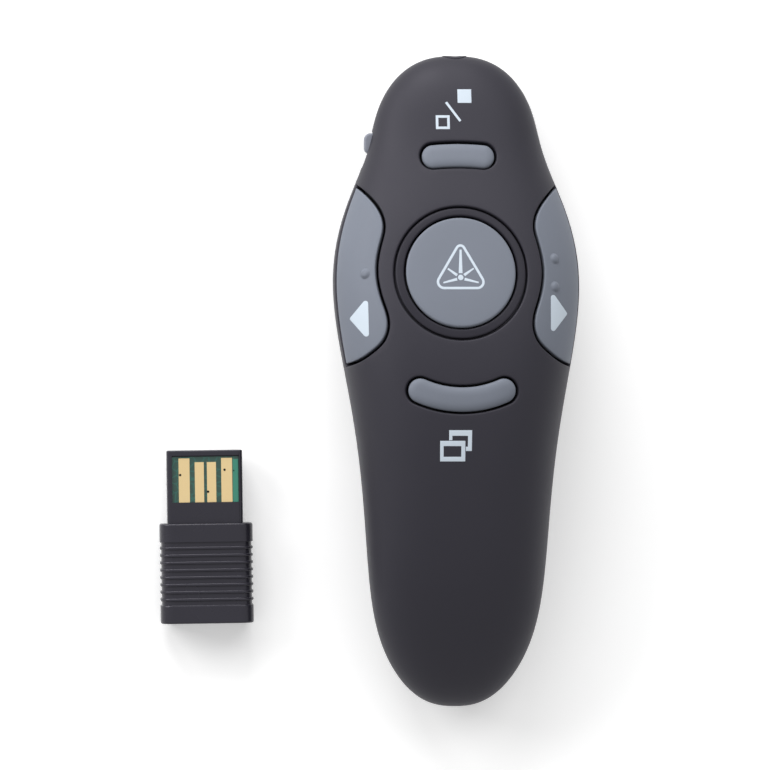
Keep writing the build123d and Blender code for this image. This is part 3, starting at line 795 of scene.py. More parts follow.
def rib_tree():
    """Rounded ribs round the receiver's grip, one pitch apart."""
    tree, given = maker_tree("grip_ribs", [
        "Width", "Height", "Corner", "Rib Width", "Rib Height", "Rib Round"])
    outlines = []
    for width, height, corner, count in (
        ("Width", "Height", "Corner", 12), ("Rib Height", "Rib Width", "Rib Round", 4),
    ):
        box = add_node(tree, "GeometryNodeCurvePrimitiveQuadrilateral", {
            "Width": given[width], "Height": given[height]})
        outlines.append(add_node(tree, "GeometryNodeFilletCurve", {
            "Curve": box, "Radius": given[corner], "Count": count}, mode="POLY"))
    ring = add_node(tree, "GeometryNodeCurveToMesh", {"Curve": outlines[0], "Profile Curve": outlines[1]})
    upright = add_node(tree, "GeometryNodeTransform", {"Geometry": ring, "Rotation": (math.pi / 2, 0, 0)})
    return repeated(tree, given, upright)


def spring_tree():
    """Conical contact springs, side by side."""
    tree, given = maker_tree("contact_springs", [
        "Turns", "Wide Radius", "Narrow Radius", "Length", "Wire Radius"])
    coil = add_node(tree, "GeometryNodeCurveSpiral", {
        "Resolution": 28, "Rotations": given["Turns"], "Start Radius": given["Wide Radius"],
        "End Radius": given["Narrow Radius"], "Height": given["Length"]})
    wire = add_node(tree, "GeometryNodeCurvePrimitiveCircle", {
        "Resolution": 10, "Radius": given["Wire Radius"]}, mode="RADIUS")
    tube = add_node(tree, "GeometryNodeCurveToMesh", {
        "Curve": coil, "Profile Curve": wire, "Fill Caps": True})
    lying = add_node(tree, "GeometryNodeTransform", {"Geometry": tube, "Rotation": (-math.pi / 2, 0, 0)})
    return repeated(tree, given, lying)


def screw_tree():
    """Case screws with a flat head and a cross recess, seen from below."""
    tree, given = maker_tree("case_screws", [
        "Head Radius", "Head Height", "Shank Radius", "Shank Length"], ["Recess", "Recess Across"])

    def raised(piece, length, share):
        """Lift a piece by a share of a length."""
        lift = add_node(tree, "ShaderNodeMath", {0: given[length], 1: share}, operation="MULTIPLY")
        place = add_node(tree, "ShaderNodeCombineXYZ", {"Z": lift})
        return add_node(tree, "GeometryNodeTransform", {"Geometry": piece, "Translation": place})

    head = add_node(tree, "GeometryNodeMeshCylinder", {
        "Vertices": 40, "Radius": given["Head Radius"], "Depth": given["Head Height"]})
    shank = add_node(tree, "GeometryNodeMeshCylinder", {
        "Vertices": 24, "Radius": given["Shank Radius"], "Depth": given["Shank Length"]})
    bits = [add_node(tree, "GeometryNodeMeshCube", {"Size": given[size]})
            for size in ("Recess", "Recess Across")]
    cut = add_node(tree, "GeometryNodeMeshBoolean", {
        "Mesh 1": raised(head, "Head Height", -0.5),
        "Mesh 2": [raised(bit, "Head Height", -1.0) for bit in bits],
    }, operation="DIFFERENCE")
    whole = add_node(tree, "GeometryNodeJoinGeometry", {
        "Geometry": [cut, raised(shank, "Shank Length", 0.5)]})
    return repeated(tree, given, whole)


def grown(name, tree, values):
    """Plain mesh object that a tree makes from its named inputs."""
    carrier = placed(name, bpy.data.meshes.new(name))
    modifier = carrier.modifiers.new("maker", "NODES")
    modifier.node_group = tree
    for item in tree.interface.items_tree:
        if item.in_out == "INPUT":
            modifier[item.identifier] = values[item.name]
    graph = bpy.context.evaluated_depsgraph_get()
    mesh = bpy.data.meshes.new_from_object(carrier.evaluated_get(graph))
    carrier.modifiers.remove(modifier)
    carrier.data = mesh
    mesh.shade_smooth()
    return carrier


# ---- shells ----------------------------------------------------------------------------------
RING_INNER = LASER_RADIUS + KEY_GAP
RING_OUTER = RING_INNER + RING_WIDTH
SHELL_EDGE = 0.18
OPENING_EDGE = 0.3
UNDERSIDE = {"lattice": 0.9, "centre": 1.5 * math.pi}
key_holes = [
    on_crown(circle_plan(RING_OUTER + RING_GROOVE)), on_crown(blank_plan(KEY_GAP)),
    on_crown(window_plan(KEY_GAP)),
]
for name, left in (("next", False), ("previous", True)):
    key_holes.append(side_loop(KEY_GAP + SIDE_KEY_DRAW, SIDE_SILLS[name] - SIDE_SILL_GAP, left))
top_shell = skin_piece("upper_shell", seam_loop(True), key_holes, edge=SHELL_EDGE, hole_edge=OPENING_EDGE)
dress(top_shell, shell_abs, "case", "shell_plastic", "top_shell")

wells = [on_belly(circle_plan(SCREW_WELL, side * SCREW_PLACE[0], SCREW_PLACE[1], 120)) for side in (-1, 1)]
bottom_shell = skin_piece("lower_shell", seam_loop(False), [door_loop(0.0), *wells], edge=SHELL_EDGE,
                          **UNDERSIDE)
dress(bottom_shell, shell_abs, "case", "shell_plastic", "bottom_shell")

THUMB_GROOVES = 5
THUMB_GROOVE_STEP = 1.83
THUMB_GROOVE = (12.0, 0.8, 0.4)
THUMB_GROOVE_Y = -24.0
GROOVE_EDGE = 0.15
GROOVE_FLOOR = 1.2
GROOVE_MARGIN = 2.5


def belly_slot(y, long, wide):
    """Round-ended loop across the belly."""
    turns = np.linspace(-math.pi / 2, math.pi / 2, 16)
    reach = (long - wide) / 2
    return on_belly(np.concatenate([
        around(reach, y, wide / 2, turns), around(-reach, y, wide / 2, turns + math.pi)]))


groove_places = [THUMB_GROOVE_Y - k * THUMB_GROOVE_STEP for k in range(THUMB_GROOVES)]
door = skin_piece(
    "battery_cover_grooved", door_loop(SEAM_GAP), [belly_slot(y, *THUMB_GROOVE[:2]) for y in groove_places],
    edge=SHELL_EDGE, hole_edge=GROOVE_EDGE, **UNDERSIDE)
floor_loop = belly_slot(sum(groove_places) / THUMB_GROOVES, THUMB_GROOVE[0] + 2 * GROOVE_MARGIN,
                        THUMB_GROOVES * THUMB_GROOVE_STEP + GROOVE_MARGIN)
groove_floor = skin_piece("battery_cover_groove_floor", floor_loop, depth=GROOVE_FLOOR, **UNDERSIDE)
for point in groove_floor.data.vertices:    # the belly is level here, so the floor just lies higher
    point.co.z += THUMB_GROOVE[2] * MM
dress(groove_floor, shell_abs, "battery_door", "shell_plastic")
for point in door.data.vertices:            # a level upper edge lets the cover slide under the shell
    point.co.z = min(point.co.z, (DOOR_SEAM - SEAM_GAP / 2) * MM)
dress(door, shell_abs, "battery_door", "shell_plastic", "battery_door")

LEDGE_LIP = (DOOR_FRONT - 1.0, DOOR_FRONT + 0.3)    # the lip lies over the seam, the foot in the shell
LEDGE_TAIL = DOOR_FRONT + 1.6
LEDGE_THICK = 0.6
LEDGE_CHAMFER = 0.15


def seam_ledge(name, left, right, foot, lip):
    """Ledge of the lower shell that stops light and dust at the front seam of the cover."""
    top = lip + LEDGE_THICK
    outline = [
        (LEDGE_LIP[0], lip), (LEDGE_LIP[1], lip), (LEDGE_LIP[1], foot), (LEDGE_TAIL, foot),
        (LEDGE_TAIL, top - LEDGE_CHAMFER), (LEDGE_TAIL - LEDGE_CHAMFER, top),
        (LEDGE_LIP[0] + LEDGE_CHAMFER, top), (LEDGE_LIP[0], top - LEDGE_CHAMFER),
    ]
    piece = lofted(name, [[(x, y, z) for y, z in outline] for x in (left, right)])
    piece.data.shade_flat()
    dress(piece, shell_abs, "case", "shell_plastic")


seam_ledge("cover_seam_ledge_left", -12.2, -9.2, 1.4, 2.7)
seam_ledge("cover_seam_ledge_right", 12.4, 14.2, 2.0, 4.1)

POST_RADIUS = 3.2
SHANK_HOLE = 1.3
WELL_DRAW = 0.02            # how much narrower a post's well is than the opening in the shell
WELL_CHAMFER = 0.06
FRONT_SEAT = 5.0
TAIL_SEAT = 6.2
TAIL_SCREW_Y = -45.5


def screw_post(name, x, y, foot, seat, top, count=48):
    """Post with a well for the screw's head and a hole for its shank."""
    well = SCREW_WELL - WELL_DRAW
    profile = [
        (well + WELL_CHAMFER, foot), (POST_RADIUS, foot), (POST_RADIUS, top), (SHANK_HOLE, top),
        (SHANK_HOLE, seat), (well, seat), (well, foot + WELL_CHAMFER),
    ]
    rows = [[(*spot, height) for spot in circle_plan(radius, x, y, count)] for radius, height in profile]
    dress(lofted(name, rows, closed=True), shell_abs, "case", "shell_plastic")


for name, side in (("left", -1), ("right", 1)):
    screw_post(f"{name}_screw_post", side * SCREW_PLACE[0], SCREW_PLACE[1], 1.9, FRONT_SEAT, 9.0)
screw_post("tail_screw_post", 0.0, TAIL_SCREW_Y, 4.65, TAIL_SEAT, 9.3)

# ---- ring round the laser key ------------------------------------------------------------------
SEAT_DROP = 1.05            # the ring's seat lies this far below the skin
SEAT_LAP = 0.6
SHELF_DROP = 3.3            # the shelf below the laser key, clear of the key's travel
SHELF_LAP = 0.3
SHELF_THICK = 0.5
RING_DEPTH = 1.0
RING_EDGE = 0.3
COARSE = {"step": 0.5, "lattice": 0.6}
seat_edge = on_crown(circle_plan(RING_OUTER + RING_GROOVE + SEAT_LAP), SEAT_DROP)
seat_hole = on_crown(circle_plan(RING_INNER, y=LASER_KEY_Y), SEAT_DROP)
ring_seat = skin_piece("trim_ring_seat", seat_edge, [seat_hole], proud=-SEAT_DROP,
                       depth=WALL - SEAT_DROP, **COARSE)
dress(ring_seat, shell_abs, "case", "shell_plastic")

ring_hole = on_crown(circle_plan(RING_INNER, y=LASER_KEY_Y))
ring = skin_piece("laser_key_trim_ring", on_crown(circle_plan(RING_OUTER)), [ring_hole],
                  depth=RING_DEPTH, edge=RING_EDGE, lattice=0.35, step=0.25)
dress(ring, trim_gloss, "case", "trim_plastic", "laser_key_ring")

shelf_hole = on_crown(circle_plan(LASER_RADIUS - SHELF_LAP), SHELF_DROP)
shelf = skin_piece("laser_key_well_shelf", on_crown(circle_plan(RING_OUTER), SHELF_DROP), [shelf_hole],
                   proud=-SHELF_DROP, depth=SHELF_THICK, **COARSE)
dress(shelf, inner_abs, "case", "shell_plastic")

# ---- keys --------------------------------------------------------------------------------------
KEY_LATTICE = 0.55
KEY_EDGE = 0.4
PILLOW_DROP = 0.62          # the two slots' keys are pillowed across their width
PILLOW_ROLL = 1.5
SIDE_KEY_EDGE = 0.22
SLOT_KEY_DRAW = 0.06        # how much narrower the slots' keys are all round
KEY_DEPTH = 2.76
SIDE_KEY_DEPTH = 1.3
for name, plan, edge, roll in (
    ("laser_key", circle_plan(LASER_RADIUS, y=LASER_KEY_Y), KEY_EDGE, KEY_EDGE),
    ("blank_screen_key", blank_plan(-SLOT_KEY_DRAW), PILLOW_DROP, PILLOW_ROLL),
    ("window_key", window_plan(-SLOT_KEY_DRAW), PILLOW_DROP, PILLOW_ROLL),
):
    cap = skin_piece(f"{name}_cap", on_crown(plan, -KEY_PROUD), proud=KEY_PROUD, depth=KEY_DEPTH,
                     edge=edge, roll=roll, lattice=KEY_LATTICE)
    dress(cap, key_paint, name, "key_plastic", name)
for name, left in (("previous", True), ("next", False)):
    cap = skin_piece(f"{name}_key_cap", side_loop(-SIDE_KEY_DRAW, SIDE_SILLS[name], left),
                     depth=SIDE_KEY_DEPTH, edge=SIDE_KEY_EDGE, lattice=KEY_LATTICE)
    dress(cap, key_paint, f"{name}_key", "key_plastic", f"{name}_key")

# ---- small raised and printed details on the keys and the shell ------------------------------------
BUMP_RADIUS = 0.75
BUMP_RISE = 0.34
BUMP_FOOT = 0.16
BUMP_ROOT = 0.3
BUMP_PROFILE = [
    (BUMP_RADIUS + BUMP_FOOT, -BUMP_ROOT), (BUMP_RADIUS + BUMP_FOOT, 0.0), (BUMP_RADIUS + 0.05, 0.03),
    (BUMP_RADIUS - 0.05, 0.1), (BUMP_RADIUS * 0.82, 0.2), (BUMP_RADIUS * 0.62, 0.28),
    (BUMP_RADIUS * 0.33, 0.33),
]


def bumps(name, places, count=40):
    """Low domes with a soft foot, standing on a side key's skin."""
    vertices, faces = [], []
    for place in places:
        spot = on_crown(np.array([place])).T
        middle, normal = skin(*spot)[0], skin_normal(*spot, 0.0)[0]
        aside = unit(np.cross([0.0, 1.0, 0.0], normal))
        rows = len(vertices) + np.arange(len(BUMP_PROFILE) * count).reshape(-1, count)
        for radius, rise in BUMP_PROFILE:
            circle = middle + circle_plan(radius, 0.0, 0.0, count) @ [aside, np.cross(normal, aside)]
            vertices += list(skin(*to_turn(circle, 0.0)) + normal * rise)
        for low, high in zip(rows, rows[1:]):
            faces += bridged(low, high)
        faces += [(a, b, len(vertices)) for a, b in zip(rows[-1], np.roll(rows[-1], -1))]
        faces.append(rows[0][::-1])
        vertices.append(middle + normal * BUMP_RISE)
    return mesh_object(name, vertices, faces)


dress(bumps("previous_key_finger_bump", [(-15.4, 17.4)]), key_paint, "previous_key", "key_plastic")
dress(bumps("next_key_finger_bumps", [(15.57, 19.9), (15.55, 15.3)]), key_paint, "next_key", "key_plastic")

INK = 0.012                 # thickness of the printed ink
INK_STEP = 0.12


def along_sides(outline):
    """The outline with points added along its sides, so that ink follows the curved skin."""
    outline = np.array(outline, float)
    points = []
    for start, end in zip(outline, np.roll(outline, -1, axis=0)):
        count = max(1, int(math.ceil(np.linalg.norm(end - start) / INK_STEP)))
        points += [start + (end - start) * k / count for k in range(count)]
    return np.array(points)


def printed(name, outline, holes=(), proud=0.0, body="case"):
    """Ink laid on the skin or on a key, from plan outlines."""
    proud += INK
    outline, *holes = (on_crown(along_sides(loop), -proud) for loop in (outline, *holes))
    piece = skin_piece(name, outline, holes, proud=proud, depth=3 * INK, edge=INK / 2,
                       lattice=0.35, even=False)
    dress(piece, print_ink, body, "key_plastic")


def strip(a, b, wide_a, wide_b):
    """Straight bar from a to b that tapers from one width to the other, as an outline."""
    a, b = np.array(a), np.array(b)
    way = unit(b - a)
    side = np.array([-way[1], way[0]]) / 2
    return np.array([a - side * wide_a, b - side * wide_b, b + side * wide_b, a + side * wide_a])


def box_plan(left, right, tail, head):
    return np.array([(left, tail), (right, tail), (right, head), (left, head)])


def corner_ways(outline, i):
    """Ways along the two sides that meet at a corner, the way between them and half their angle."""
    back, on = (unit(np.subtract(outline[k % len(outline)], outline[i])) for k in (i - 1, i + 1))
    return back, on, unit(back + on), math.acos(float(back @ on)) / 2


def rounded(outline, corners, count=8):
    """Outline with each corner rounded to its own radius."""
    points = []
    for i, corner in enumerate(corners):
        back, on, between, half = corner_ways(outline, i)
        heart = between * corner / math.sin(half)
        first, last = (math.atan2(*(way * corner / math.tan(half) - heart)[::-1]) for way in (back, on))
        turn = (last - first + math.pi) % TAU - math.pi
        turns = first + turn * np.arange(count + 1) / count
        points.append(around(*(outline[i] + heart), corner, turns))
    return np.concatenate(points)


def drawn_in(outline, distance):
    """Convex outline with its sides moved inwards by a distance."""
    points = []
    for i, corner in enumerate(outline):
        _, _, between, half = corner_ways(outline, i)
        points.append(corner + between * distance / math.sin(half))
    return points


printed("blank_mark_solid_square", box_plan(0.1, 2.36, 45.48, 47.74))
printed("blank_mark_slash", strip((-1.80, 45.58), (0.48, 42.45), 0.4, 0.4))
printed("blank_mark_open_square", box_plan(-3.54, -1.26, 41.12, 43.41),
        [box_plan(-3.12, -1.68, 41.54, 42.99)])
printed("window_mark_front", box_plan(-3.59, 0.47, -12.97, -9.65),
        [box_plan(-3.03, -0.17, -12.23, -10.5)])
printed("window_mark_back", [
    (-2.15, -9.55), (-2.15, -7.94), (1.56, -7.94), (1.52, -11.29), (0.57, -11.29), (0.57, -10.6),
    (0.89, -10.6), (0.90, -8.84), (-1.63, -8.84), (-1.63, -9.55),
])

TRIANGLE = [(-0.03, 22.99), (-4.91, 14.82), (4.65, 14.82)]
TRIANGLE_CORNERS = (0.86, 1.2, 1.2)
TRIANGLE_STROKE = 0.4
ON_LASER_KEY = {"proud": KEY_PROUD, "body": "laser_key"}
inner_corners = [corner - TRIANGLE_STROKE for corner in TRIANGLE_CORNERS]
triangle_hole = rounded(drawn_in(TRIANGLE, TRIANGLE_STROKE), inner_corners)
printed("laser_mark_border", rounded(TRIANGLE, TRIANGLE_CORNERS), [triangle_hole], **ON_LASER_KEY)
printed("laser_mark_dot", circle_plan(0.44, -0.1, 16.74, 28), **ON_LASER_KEY)
for name, start, end, wide, narrow in (
    ("ahead", (-0.10, 17.44), (-0.03, 21.27), 0.62, 0.34),
    ("left", (-0.67, 17.10), (-2.15, 18.17), 0.46, 0.26),
    ("right", (0.47, 17.12), (2.04, 18.23), 0.46, 0.22),
    ("low_left", (-0.68, 16.47), (-2.92, 15.88), 0.46, 0.24),
    ("low_right", (0.52, 16.47), (2.80, 15.92), 0.46, 0.24),
):
    printed(f"laser_mark_ray_{name}", strip(start, end, wide, narrow), **ON_LASER_KEY)

ARROW_CORNERS = (0.36, 0.42, 0.42)
for name, arrow in (
    ("previous", [(-17.92, 10.09), (-14.87, 6.42), (-15.0, 13.74)]),
    ("next", [(17.62, 10.93), (14.74, 14.80), (14.66, 7.34)]),
):
    printed(f"{name}_arrow", rounded(arrow, ARROW_CORNERS), body=f"{name}_key")

# ---- receiver, made in its own frame ----------------------------------------------------------------
RECEIVER_PLACE = (-40.8, -25.6)
RECEIVER_TURN = math.radians(0.8)
GRIP = (15.3, 16.45, 7.4)
GRIP_MIDDLE = GRIP[2] / 2
GRIP_CORNER = 2.2
GRIP_GROOVES = 9
GROOVE_PITCH = 1.21
GROOVE_HALF = 0.34
GROOVE_DEPTH = 0.24
GROOVE_FIRST = 3.42
PLUG = (12.0, 12.0, 4.5)
PLUG_TIP = (GRIP[1] + PLUG[1]) / 2
PLUG_TOP = GRIP_MIDDLE + PLUG[2] / 2
JOINT_Y = PLUG_TIP - PLUG[1]
EDGE_REST = 0.04            # a narrow flat beside each rounding keeps the shading of wide faces level
REST_SPAN = 0.32            # stations nearer together than this need no such flat
LEAST_CORNER = 0.02
SQUARE = 0.9994             # cosine of the most a plain side may lean


def lay_receiver(piece, material, slot, *nodes):
    """Move a piece of the receiver to where the receiver lies, and dress it."""
    place = Matrix.Translation((RECEIVER_PLACE[0] * MM, RECEIVER_PLACE[1] * MM, 0.0))
    piece.data.transform(place @ Matrix.Rotation(RECEIVER_TURN, 4, "Z"))
    dress(piece, material, "receiver", slot, *nodes)


def corner_loop(wide, high, corner, count=10):
    """Rounded rectangle about the origin."""
    points = []
    for k, (sx, sy) in enumerate(((1, 1), (-1, 1), (-1, -1), (1, -1))):
        turns = math.pi / 2 * (k + np.arange(count + 1) / count)
        arc = around(sx * (wide / 2 - corner), sy * (high / 2 - corner), corner, turns)
        rests = around(0.0, 0.0, EDGE_REST, turns[[0, -1]] + math.pi / 2)
        points += [arc[0] - rests[0], *arc, arc[-1] + rests[1]]
    return points


def swept(name, stations, wide, high, corner, aside=0.0):
    """Closed block with a rounded section along Y; stations are (y, how far the skin is drawn in)."""
    rested = stations[:1]
    for start, end in zip(stations, stations[1:]):
        if end[0] - start[0] > REST_SPAN:
            rested += [(start[0] + EDGE_REST, start[1]), (end[0] - EDGE_REST, end[1])]
        rested.append(end)
    rows = []
    for y, inset in rested:
        loop = corner_loop(wide - 2 * inset, high - 2 * inset, max(LEAST_CORNER, corner - inset))
        rows.append([(x + aside, y, z + GRIP_MIDDLE) for x, z in loop])
    return lofted(name, rows)


def plain_sides(piece):
    """Shade a block's square sides as flat, so that no light runs over them from the rounded edges."""
    for side in piece.data.polygons:
        if max(abs(part) for part in side.normal) > SQUARE:
            side.use_smooth = False
    return piece


def rounded_end(end, way, radius, count=5):
    """Stations of a block's rounded end, from its tip inwards; way is 1 or -1 along Y."""
    turns = [math.pi / 2 * k / count for k in range(count + 1)]
    return [(end + way * radius * (1 - math.cos(a)), radius * (1 - math.sin(a))) for a in turns]


END_ROUND = 0.3
STEP_ROUND = 0.05
grip_tail = JOINT_Y - GRIP[1]
groove_head = JOINT_Y - GROOVE_FIRST + GROOVE_HALF
groove_tail = JOINT_Y - GROOVE_FIRST - (GRIP_GROOVES - 1) * GROOVE_PITCH - GROOVE_HALF
grip = swept("receiver_grip_body", [
    *rounded_end(grip_tail, 1, END_ROUND), (groove_tail - END_ROUND, 0.0),
    (groove_tail - STEP_ROUND, 0.0), (groove_tail, STEP_ROUND), (groove_tail, GROOVE_DEPTH),
    (groove_head, GROOVE_DEPTH), (groove_head, STEP_ROUND), (groove_head + STEP_ROUND, 0.0),
    *rounded_end(JOINT_Y, -1, END_ROUND)[::-1],
], GRIP[0], GRIP[2], GRIP_CORNER)
lay_receiver(grip, receiver_abs, "receiver_plastic", "receiver_grip")

RIB_ROUND = 0.2
RIB_HEIGHT = GROOVE_DEPTH * 2
ribs = grown("receiver_grip_ribs", rib_tree(), {
    "Count": GRIP_GROOVES - 1, "Step": (0.0, -GROOVE_PITCH * MM, 0.0),
    "First": (0.0, (JOINT_Y - GROOVE_FIRST - GROOVE_PITCH / 2) * MM, GRIP_MIDDLE * MM),
    "Width": (GRIP[0] - RIB_HEIGHT) * MM, "Height": (GRIP[2] - RIB_HEIGHT) * MM,
    "Corner": (GRIP_CORNER - RIB_HEIGHT / 2) * MM, "Rib Width": (GROOVE_PITCH - 2 * GROOVE_HALF) * MM,
    "Rib Height": RIB_HEIGHT * MM, "Rib Round": RIB_ROUND * MM, "Finish": receiver_abs,
})
lay_receiver(ribs, receiver_abs, "receiver_plastic")


def windowed(block, half, tail, head, floor):
    """Sink a window into the top of a block."""
    work = bmesh.new()
    work.from_mesh(block.data)
    top = max((face for face in work.faces if face.normal.z > SQUARE), key=lambda face: face.calc_area())
    outer = list(top.verts)
    middle = (tail + head) / 2 * MM
    plan = [(math.copysign(half * MM, point.co.x), (head if point.co.y > middle else tail) * MM)
            for point in outer]
    rim = [work.verts.new((x, y, point.co.z)) for (x, y), point in zip(plan, outer)]
    foot = [work.verts.new((x, y, floor * MM)) for x, y in plan]
    work.faces.remove(top)
    for i in range(4):
        j = (i + 1) % 4
        work.faces.new((outer[i], outer[j], rim[j], rim[i]))
        work.faces.new((rim[i], rim[j], foot[j], foot[i]))
    work.faces.new(foot)
    work.to_mesh(block.data)
    work.free()
    return block


PLUG_ROUND = 0.6
PLUG_WIDE, PLUG_ASIDE = PLUG[0] + 0.45, -0.13
PLUG_TIP_ROUND = 0.22
PLUG_ROOT = 3.0
WINDOW_WIDE, WINDOW_LONG, WINDOW_DEEP = 11.0, 7.7, 0.9
WINDOW_HEAD = PLUG_TIP - 0.85
WINDOW_TAIL = WINDOW_HEAD - WINDOW_LONG
plug_root = rounded_end(JOINT_Y - PLUG_ROOT, 1, PLUG_TIP_ROUND)
plug_tip = rounded_end(PLUG_TIP, -1, PLUG_TIP_ROUND)[::-1]
plug = swept("receiver_plug_shell", plug_root + plug_tip, PLUG_WIDE, PLUG[2], PLUG_ROUND, PLUG_ASIDE)
plug = windowed(plug, WINDOW_WIDE / 2, WINDOW_TAIL, WINDOW_HEAD, PLUG_TOP - WINDOW_DEEP)
lay_receiver(plain_sides(plug), receiver_abs, "receiver_plastic", "receiver_plug_frame")

BOARD_THICK = 0.6
BOARD_FACE = PLUG_TOP - WINDOW_DEEP + BOARD_THICK
PATCH_ROOT = 0.1
COPPER_RISE = 0.03
HOLE_RISE = 0.105
POUR_SIDES = (4.5, 5.38)
POUR_SHORT = 0.65
POUR_ROUND = 0.1
BOARD_HOLES = [(-4.16, 3.17, 0.2), (0.4, 5.97, 0.2), (3.15, 2.4, 0.2), (4.66, 2.55, 0.1)]


def board_patch(name, outline, rise, material):
    """Thin flat patch with the given outline on the receiver's board."""
    heights = (BOARD_FACE - PATCH_ROOT, BOARD_FACE + rise)
    patch = lofted(name, [[(x, y, z) for x, y in outline] for z in heights])
    lay_receiver(plain_sides(patch), material, "circuit_board")


pour = rounded(box_plan(*POUR_SIDES, WINDOW_TAIL, WINDOW_HEAD - POUR_SHORT), [POUR_ROUND] * 4)
board_patch("receiver_board_copper_pour", pour, COPPER_RISE, green_pour)
# Flat patches painted with the shade of the board's plated holes, laid where the holes are.
for number, (x, down, radius) in enumerate(BOARD_HOLES, 1):
    spot = circle_plan(radius, x, WINDOW_HEAD - down, 24)
    board_patch(f"receiver_board_hole_shade_{number}", spot, HOLE_RISE, hole_shade_paint)

# ---- contact springs and case screws ----------------------------------------------------------------
WIRE_RADIUS = 0.22
CELL_X = 5.35
CELL_Z = 7.35
SPRING_TAIL = -39.0
SPRING_LENGTH = 2.4
SPRING_RADII = (3.2, 1.6)
springs = grown("contact_spring_coils", spring_tree(), {
    "Count": 2, "Step": (2 * CELL_X * MM, 0.0, 0.0),
    "First": (-CELL_X * MM, (SPRING_TAIL + WIRE_RADIUS) * MM, CELL_Z * MM), "Turns": 3.5,
    "Wide Radius": (SPRING_RADII[0] - WIRE_RADIUS) * MM, "Narrow Radius": SPRING_RADII[1] * MM,
    "Length": (SPRING_LENGTH - 2 * WIRE_RADIUS) * MM, "Wire Radius": WIRE_RADIUS * MM, "Finish": nickel,
})
dress(springs, nickel, "case", "steel", "contact_springs")

case_screws = screw_tree()
for name, count, x, y, seat, nodes in (
    ("front_case_screws", 2, -SCREW_PLACE[0], SCREW_PLACE[1], FRONT_SEAT, ["case_screws"]),
    ("tail_case_screw", 1, 0.0, TAIL_SCREW_Y, TAIL_SEAT, []),
):
    screws = grown(name, case_screws, {
        "Count": count, "First": (x * MM, y * MM, seat * MM), "Step": (-2 * x * MM, 0.0, 0.0),
        "Head Radius": 2.1 * MM, "Head Height": 1.3 * MM, "Shank Radius": 1.1 * MM, "Shank Length": 8.0 * MM,
        "Recess": (2.2 * MM, 0.5 * MM, 1.0 * MM), "Recess Across": (0.52 * MM, 2.3 * MM, 1.06 * MM),
        "Finish": nickel,
    })
    dress(plain_sides(screws), nickel, "case", "steel", *nodes)

# ---- carried CAD pieces get their real finish --------------------------------------------------
node_finish = {
    "power_knob": knob_abs, "power_switch": inner_abs, "laser_bezel": shell_abs, "laser_barrel": brass,
    "laser_lens": lens_clear, "laser_diode": nickel, "main_board": black_mask, "rear_board": black_mask,
    "radio_chip": chip_epoxy, "clock_crystal": nickel, "battery_bay": inner_abs, "left_cell": cell_film,
    "right_cell": cell_film, "contact_plates": nickel, "receiver_board": green_mask,
    "receiver_contacts": gold_plate, "receiver_chip": chip_epoxy,
}
for name in ("laser", "blank_screen", "window", "previous", "next"):
    node_finish[f"{name}_switch"] = inner_abs
    node_finish[f"{name}_plunger"] = knob_abs
for name, finish in node_finish.items():
    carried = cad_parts[name]
    for slot in carried.material_slots:
        slot.material = finish

# ---- floor, light and camera ---------------------------------------------------------------------
scene.view_settings.view_transform = "Standard"
FLOOR_HALF = 3.0
FLOOR_Z = -0.00002          # the floor lies a hair below the rest face
FLOOR_LIFT = 0.28
ROOM_LIGHT = 0.453


def seen_directly(tree):
    """1 for rays from the camera, a gloss or a clear piece, 0 for the rays that light the object."""
    path = add_node(tree, "ShaderNodeLightPath").outputs
    two = add_node(tree, "ShaderNodeMath", {
        0: path["Is Camera Ray"], 1: path["Is Glossy Ray"]}, operation="MAXIMUM")
    return add_node(tree, "ShaderNodeMath", {0: two, 1: path["Is Transmission Ray"]}, operation="MAXIMUM")


floor_mesh = bpy.data.meshes.new("pale_floor")
floor_plan = box_plan(-FLOOR_HALF, FLOOR_HALF, -FLOOR_HALF, FLOOR_HALF)
floor_mesh.from_pydata([(x, y, FLOOR_Z) for x, y in floor_plan], [], [(0, 1, 2, 3)])
floor = placed("pale_floor", floor_mesh)
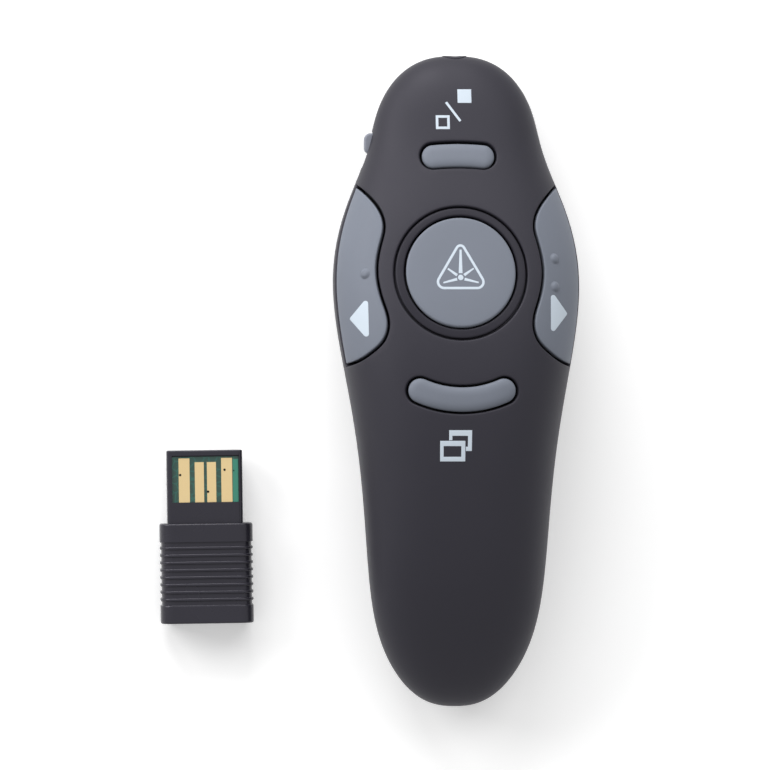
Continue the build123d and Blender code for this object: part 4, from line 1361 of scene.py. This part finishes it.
# Matt white board, lifted a little where the camera sees it, so that it stays an even pale ground.
floor_paint, tree, shader, place = blank_material("white_matt_board")
lift = add_node(tree, "ShaderNodeMath", {0: seen_directly(tree), 1: FLOOR_LIFT}, operation="MULTIPLY")
feed(tree, shader, {
    "Base Color": linear("#fbfbfb"), "Roughness": 0.9, "Specular IOR Level": 0.1,
    "Emission Color": (1, 1, 1, 1), "Emission Strength": lift})
floor.data.materials.append(floor_paint)

world = bpy.data.worlds.new("studio")
scene.world = world
world.use_nodes = True
tree = world.node_tree
room = add_node(tree, "ShaderNodeMapRange", {
    "Value": seen_directly(tree), "To Min": ROOM_LIGHT, "To Max": 1.0})
feed(tree, tree.nodes["Background"], {"Color": (1, 1, 1, 1), "Strength": room})

LAMP_DISTANCE = 0.9
LAMP_SIZE = 0.5


def softbox(name, lean, heading, power):
    """Square soft lamp that aims at the object: lean from upright and heading from +X, in degrees."""
    lamp = bpy.data.lights.new(name, "AREA")
    lamp.size = LAMP_SIZE
    lamp.energy = power
    lean, heading = math.radians(lean), math.radians(heading)
    away = Vector((math.sin(lean) * math.cos(heading), math.sin(lean) * math.sin(heading), math.cos(lean)))
    made = placed(name, lamp)
    made.location = away * LAMP_DISTANCE
    made.rotation_euler = away.to_track_quat("Z", "Y").to_euler()


softbox("head_softbox", 64.5, 103, 5.2)
softbox("left_softbox", 65, 150, 4.3)
softbox("right_fill", 45, 60, 1.75)

VIEW_DISTANCE = 900.0
VIEW_TILT = math.radians(3.3)
VIEW_CENTRE = (-11.04, -0.65)
VIEW_WIDTH = 127.65
SENSOR = 36.0
camera_data = bpy.data.cameras.new("camera")
camera_data.sensor_width = SENSOR
camera_data.lens = SENSOR * VIEW_DISTANCE / VIEW_WIDTH
camera_data.clip_end = 20.0
camera = placed("camera", camera_data)
centre = Matrix.Translation((VIEW_CENTRE[0] * MM, VIEW_CENTRE[1] * MM, 0.0))
tilt = Matrix.Rotation(-VIEW_TILT, 4, "Y")
camera.matrix_world = centre @ tilt @ Matrix.Translation((0.0, 0.0, VIEW_DISTANCE * MM))
scene.camera = camera
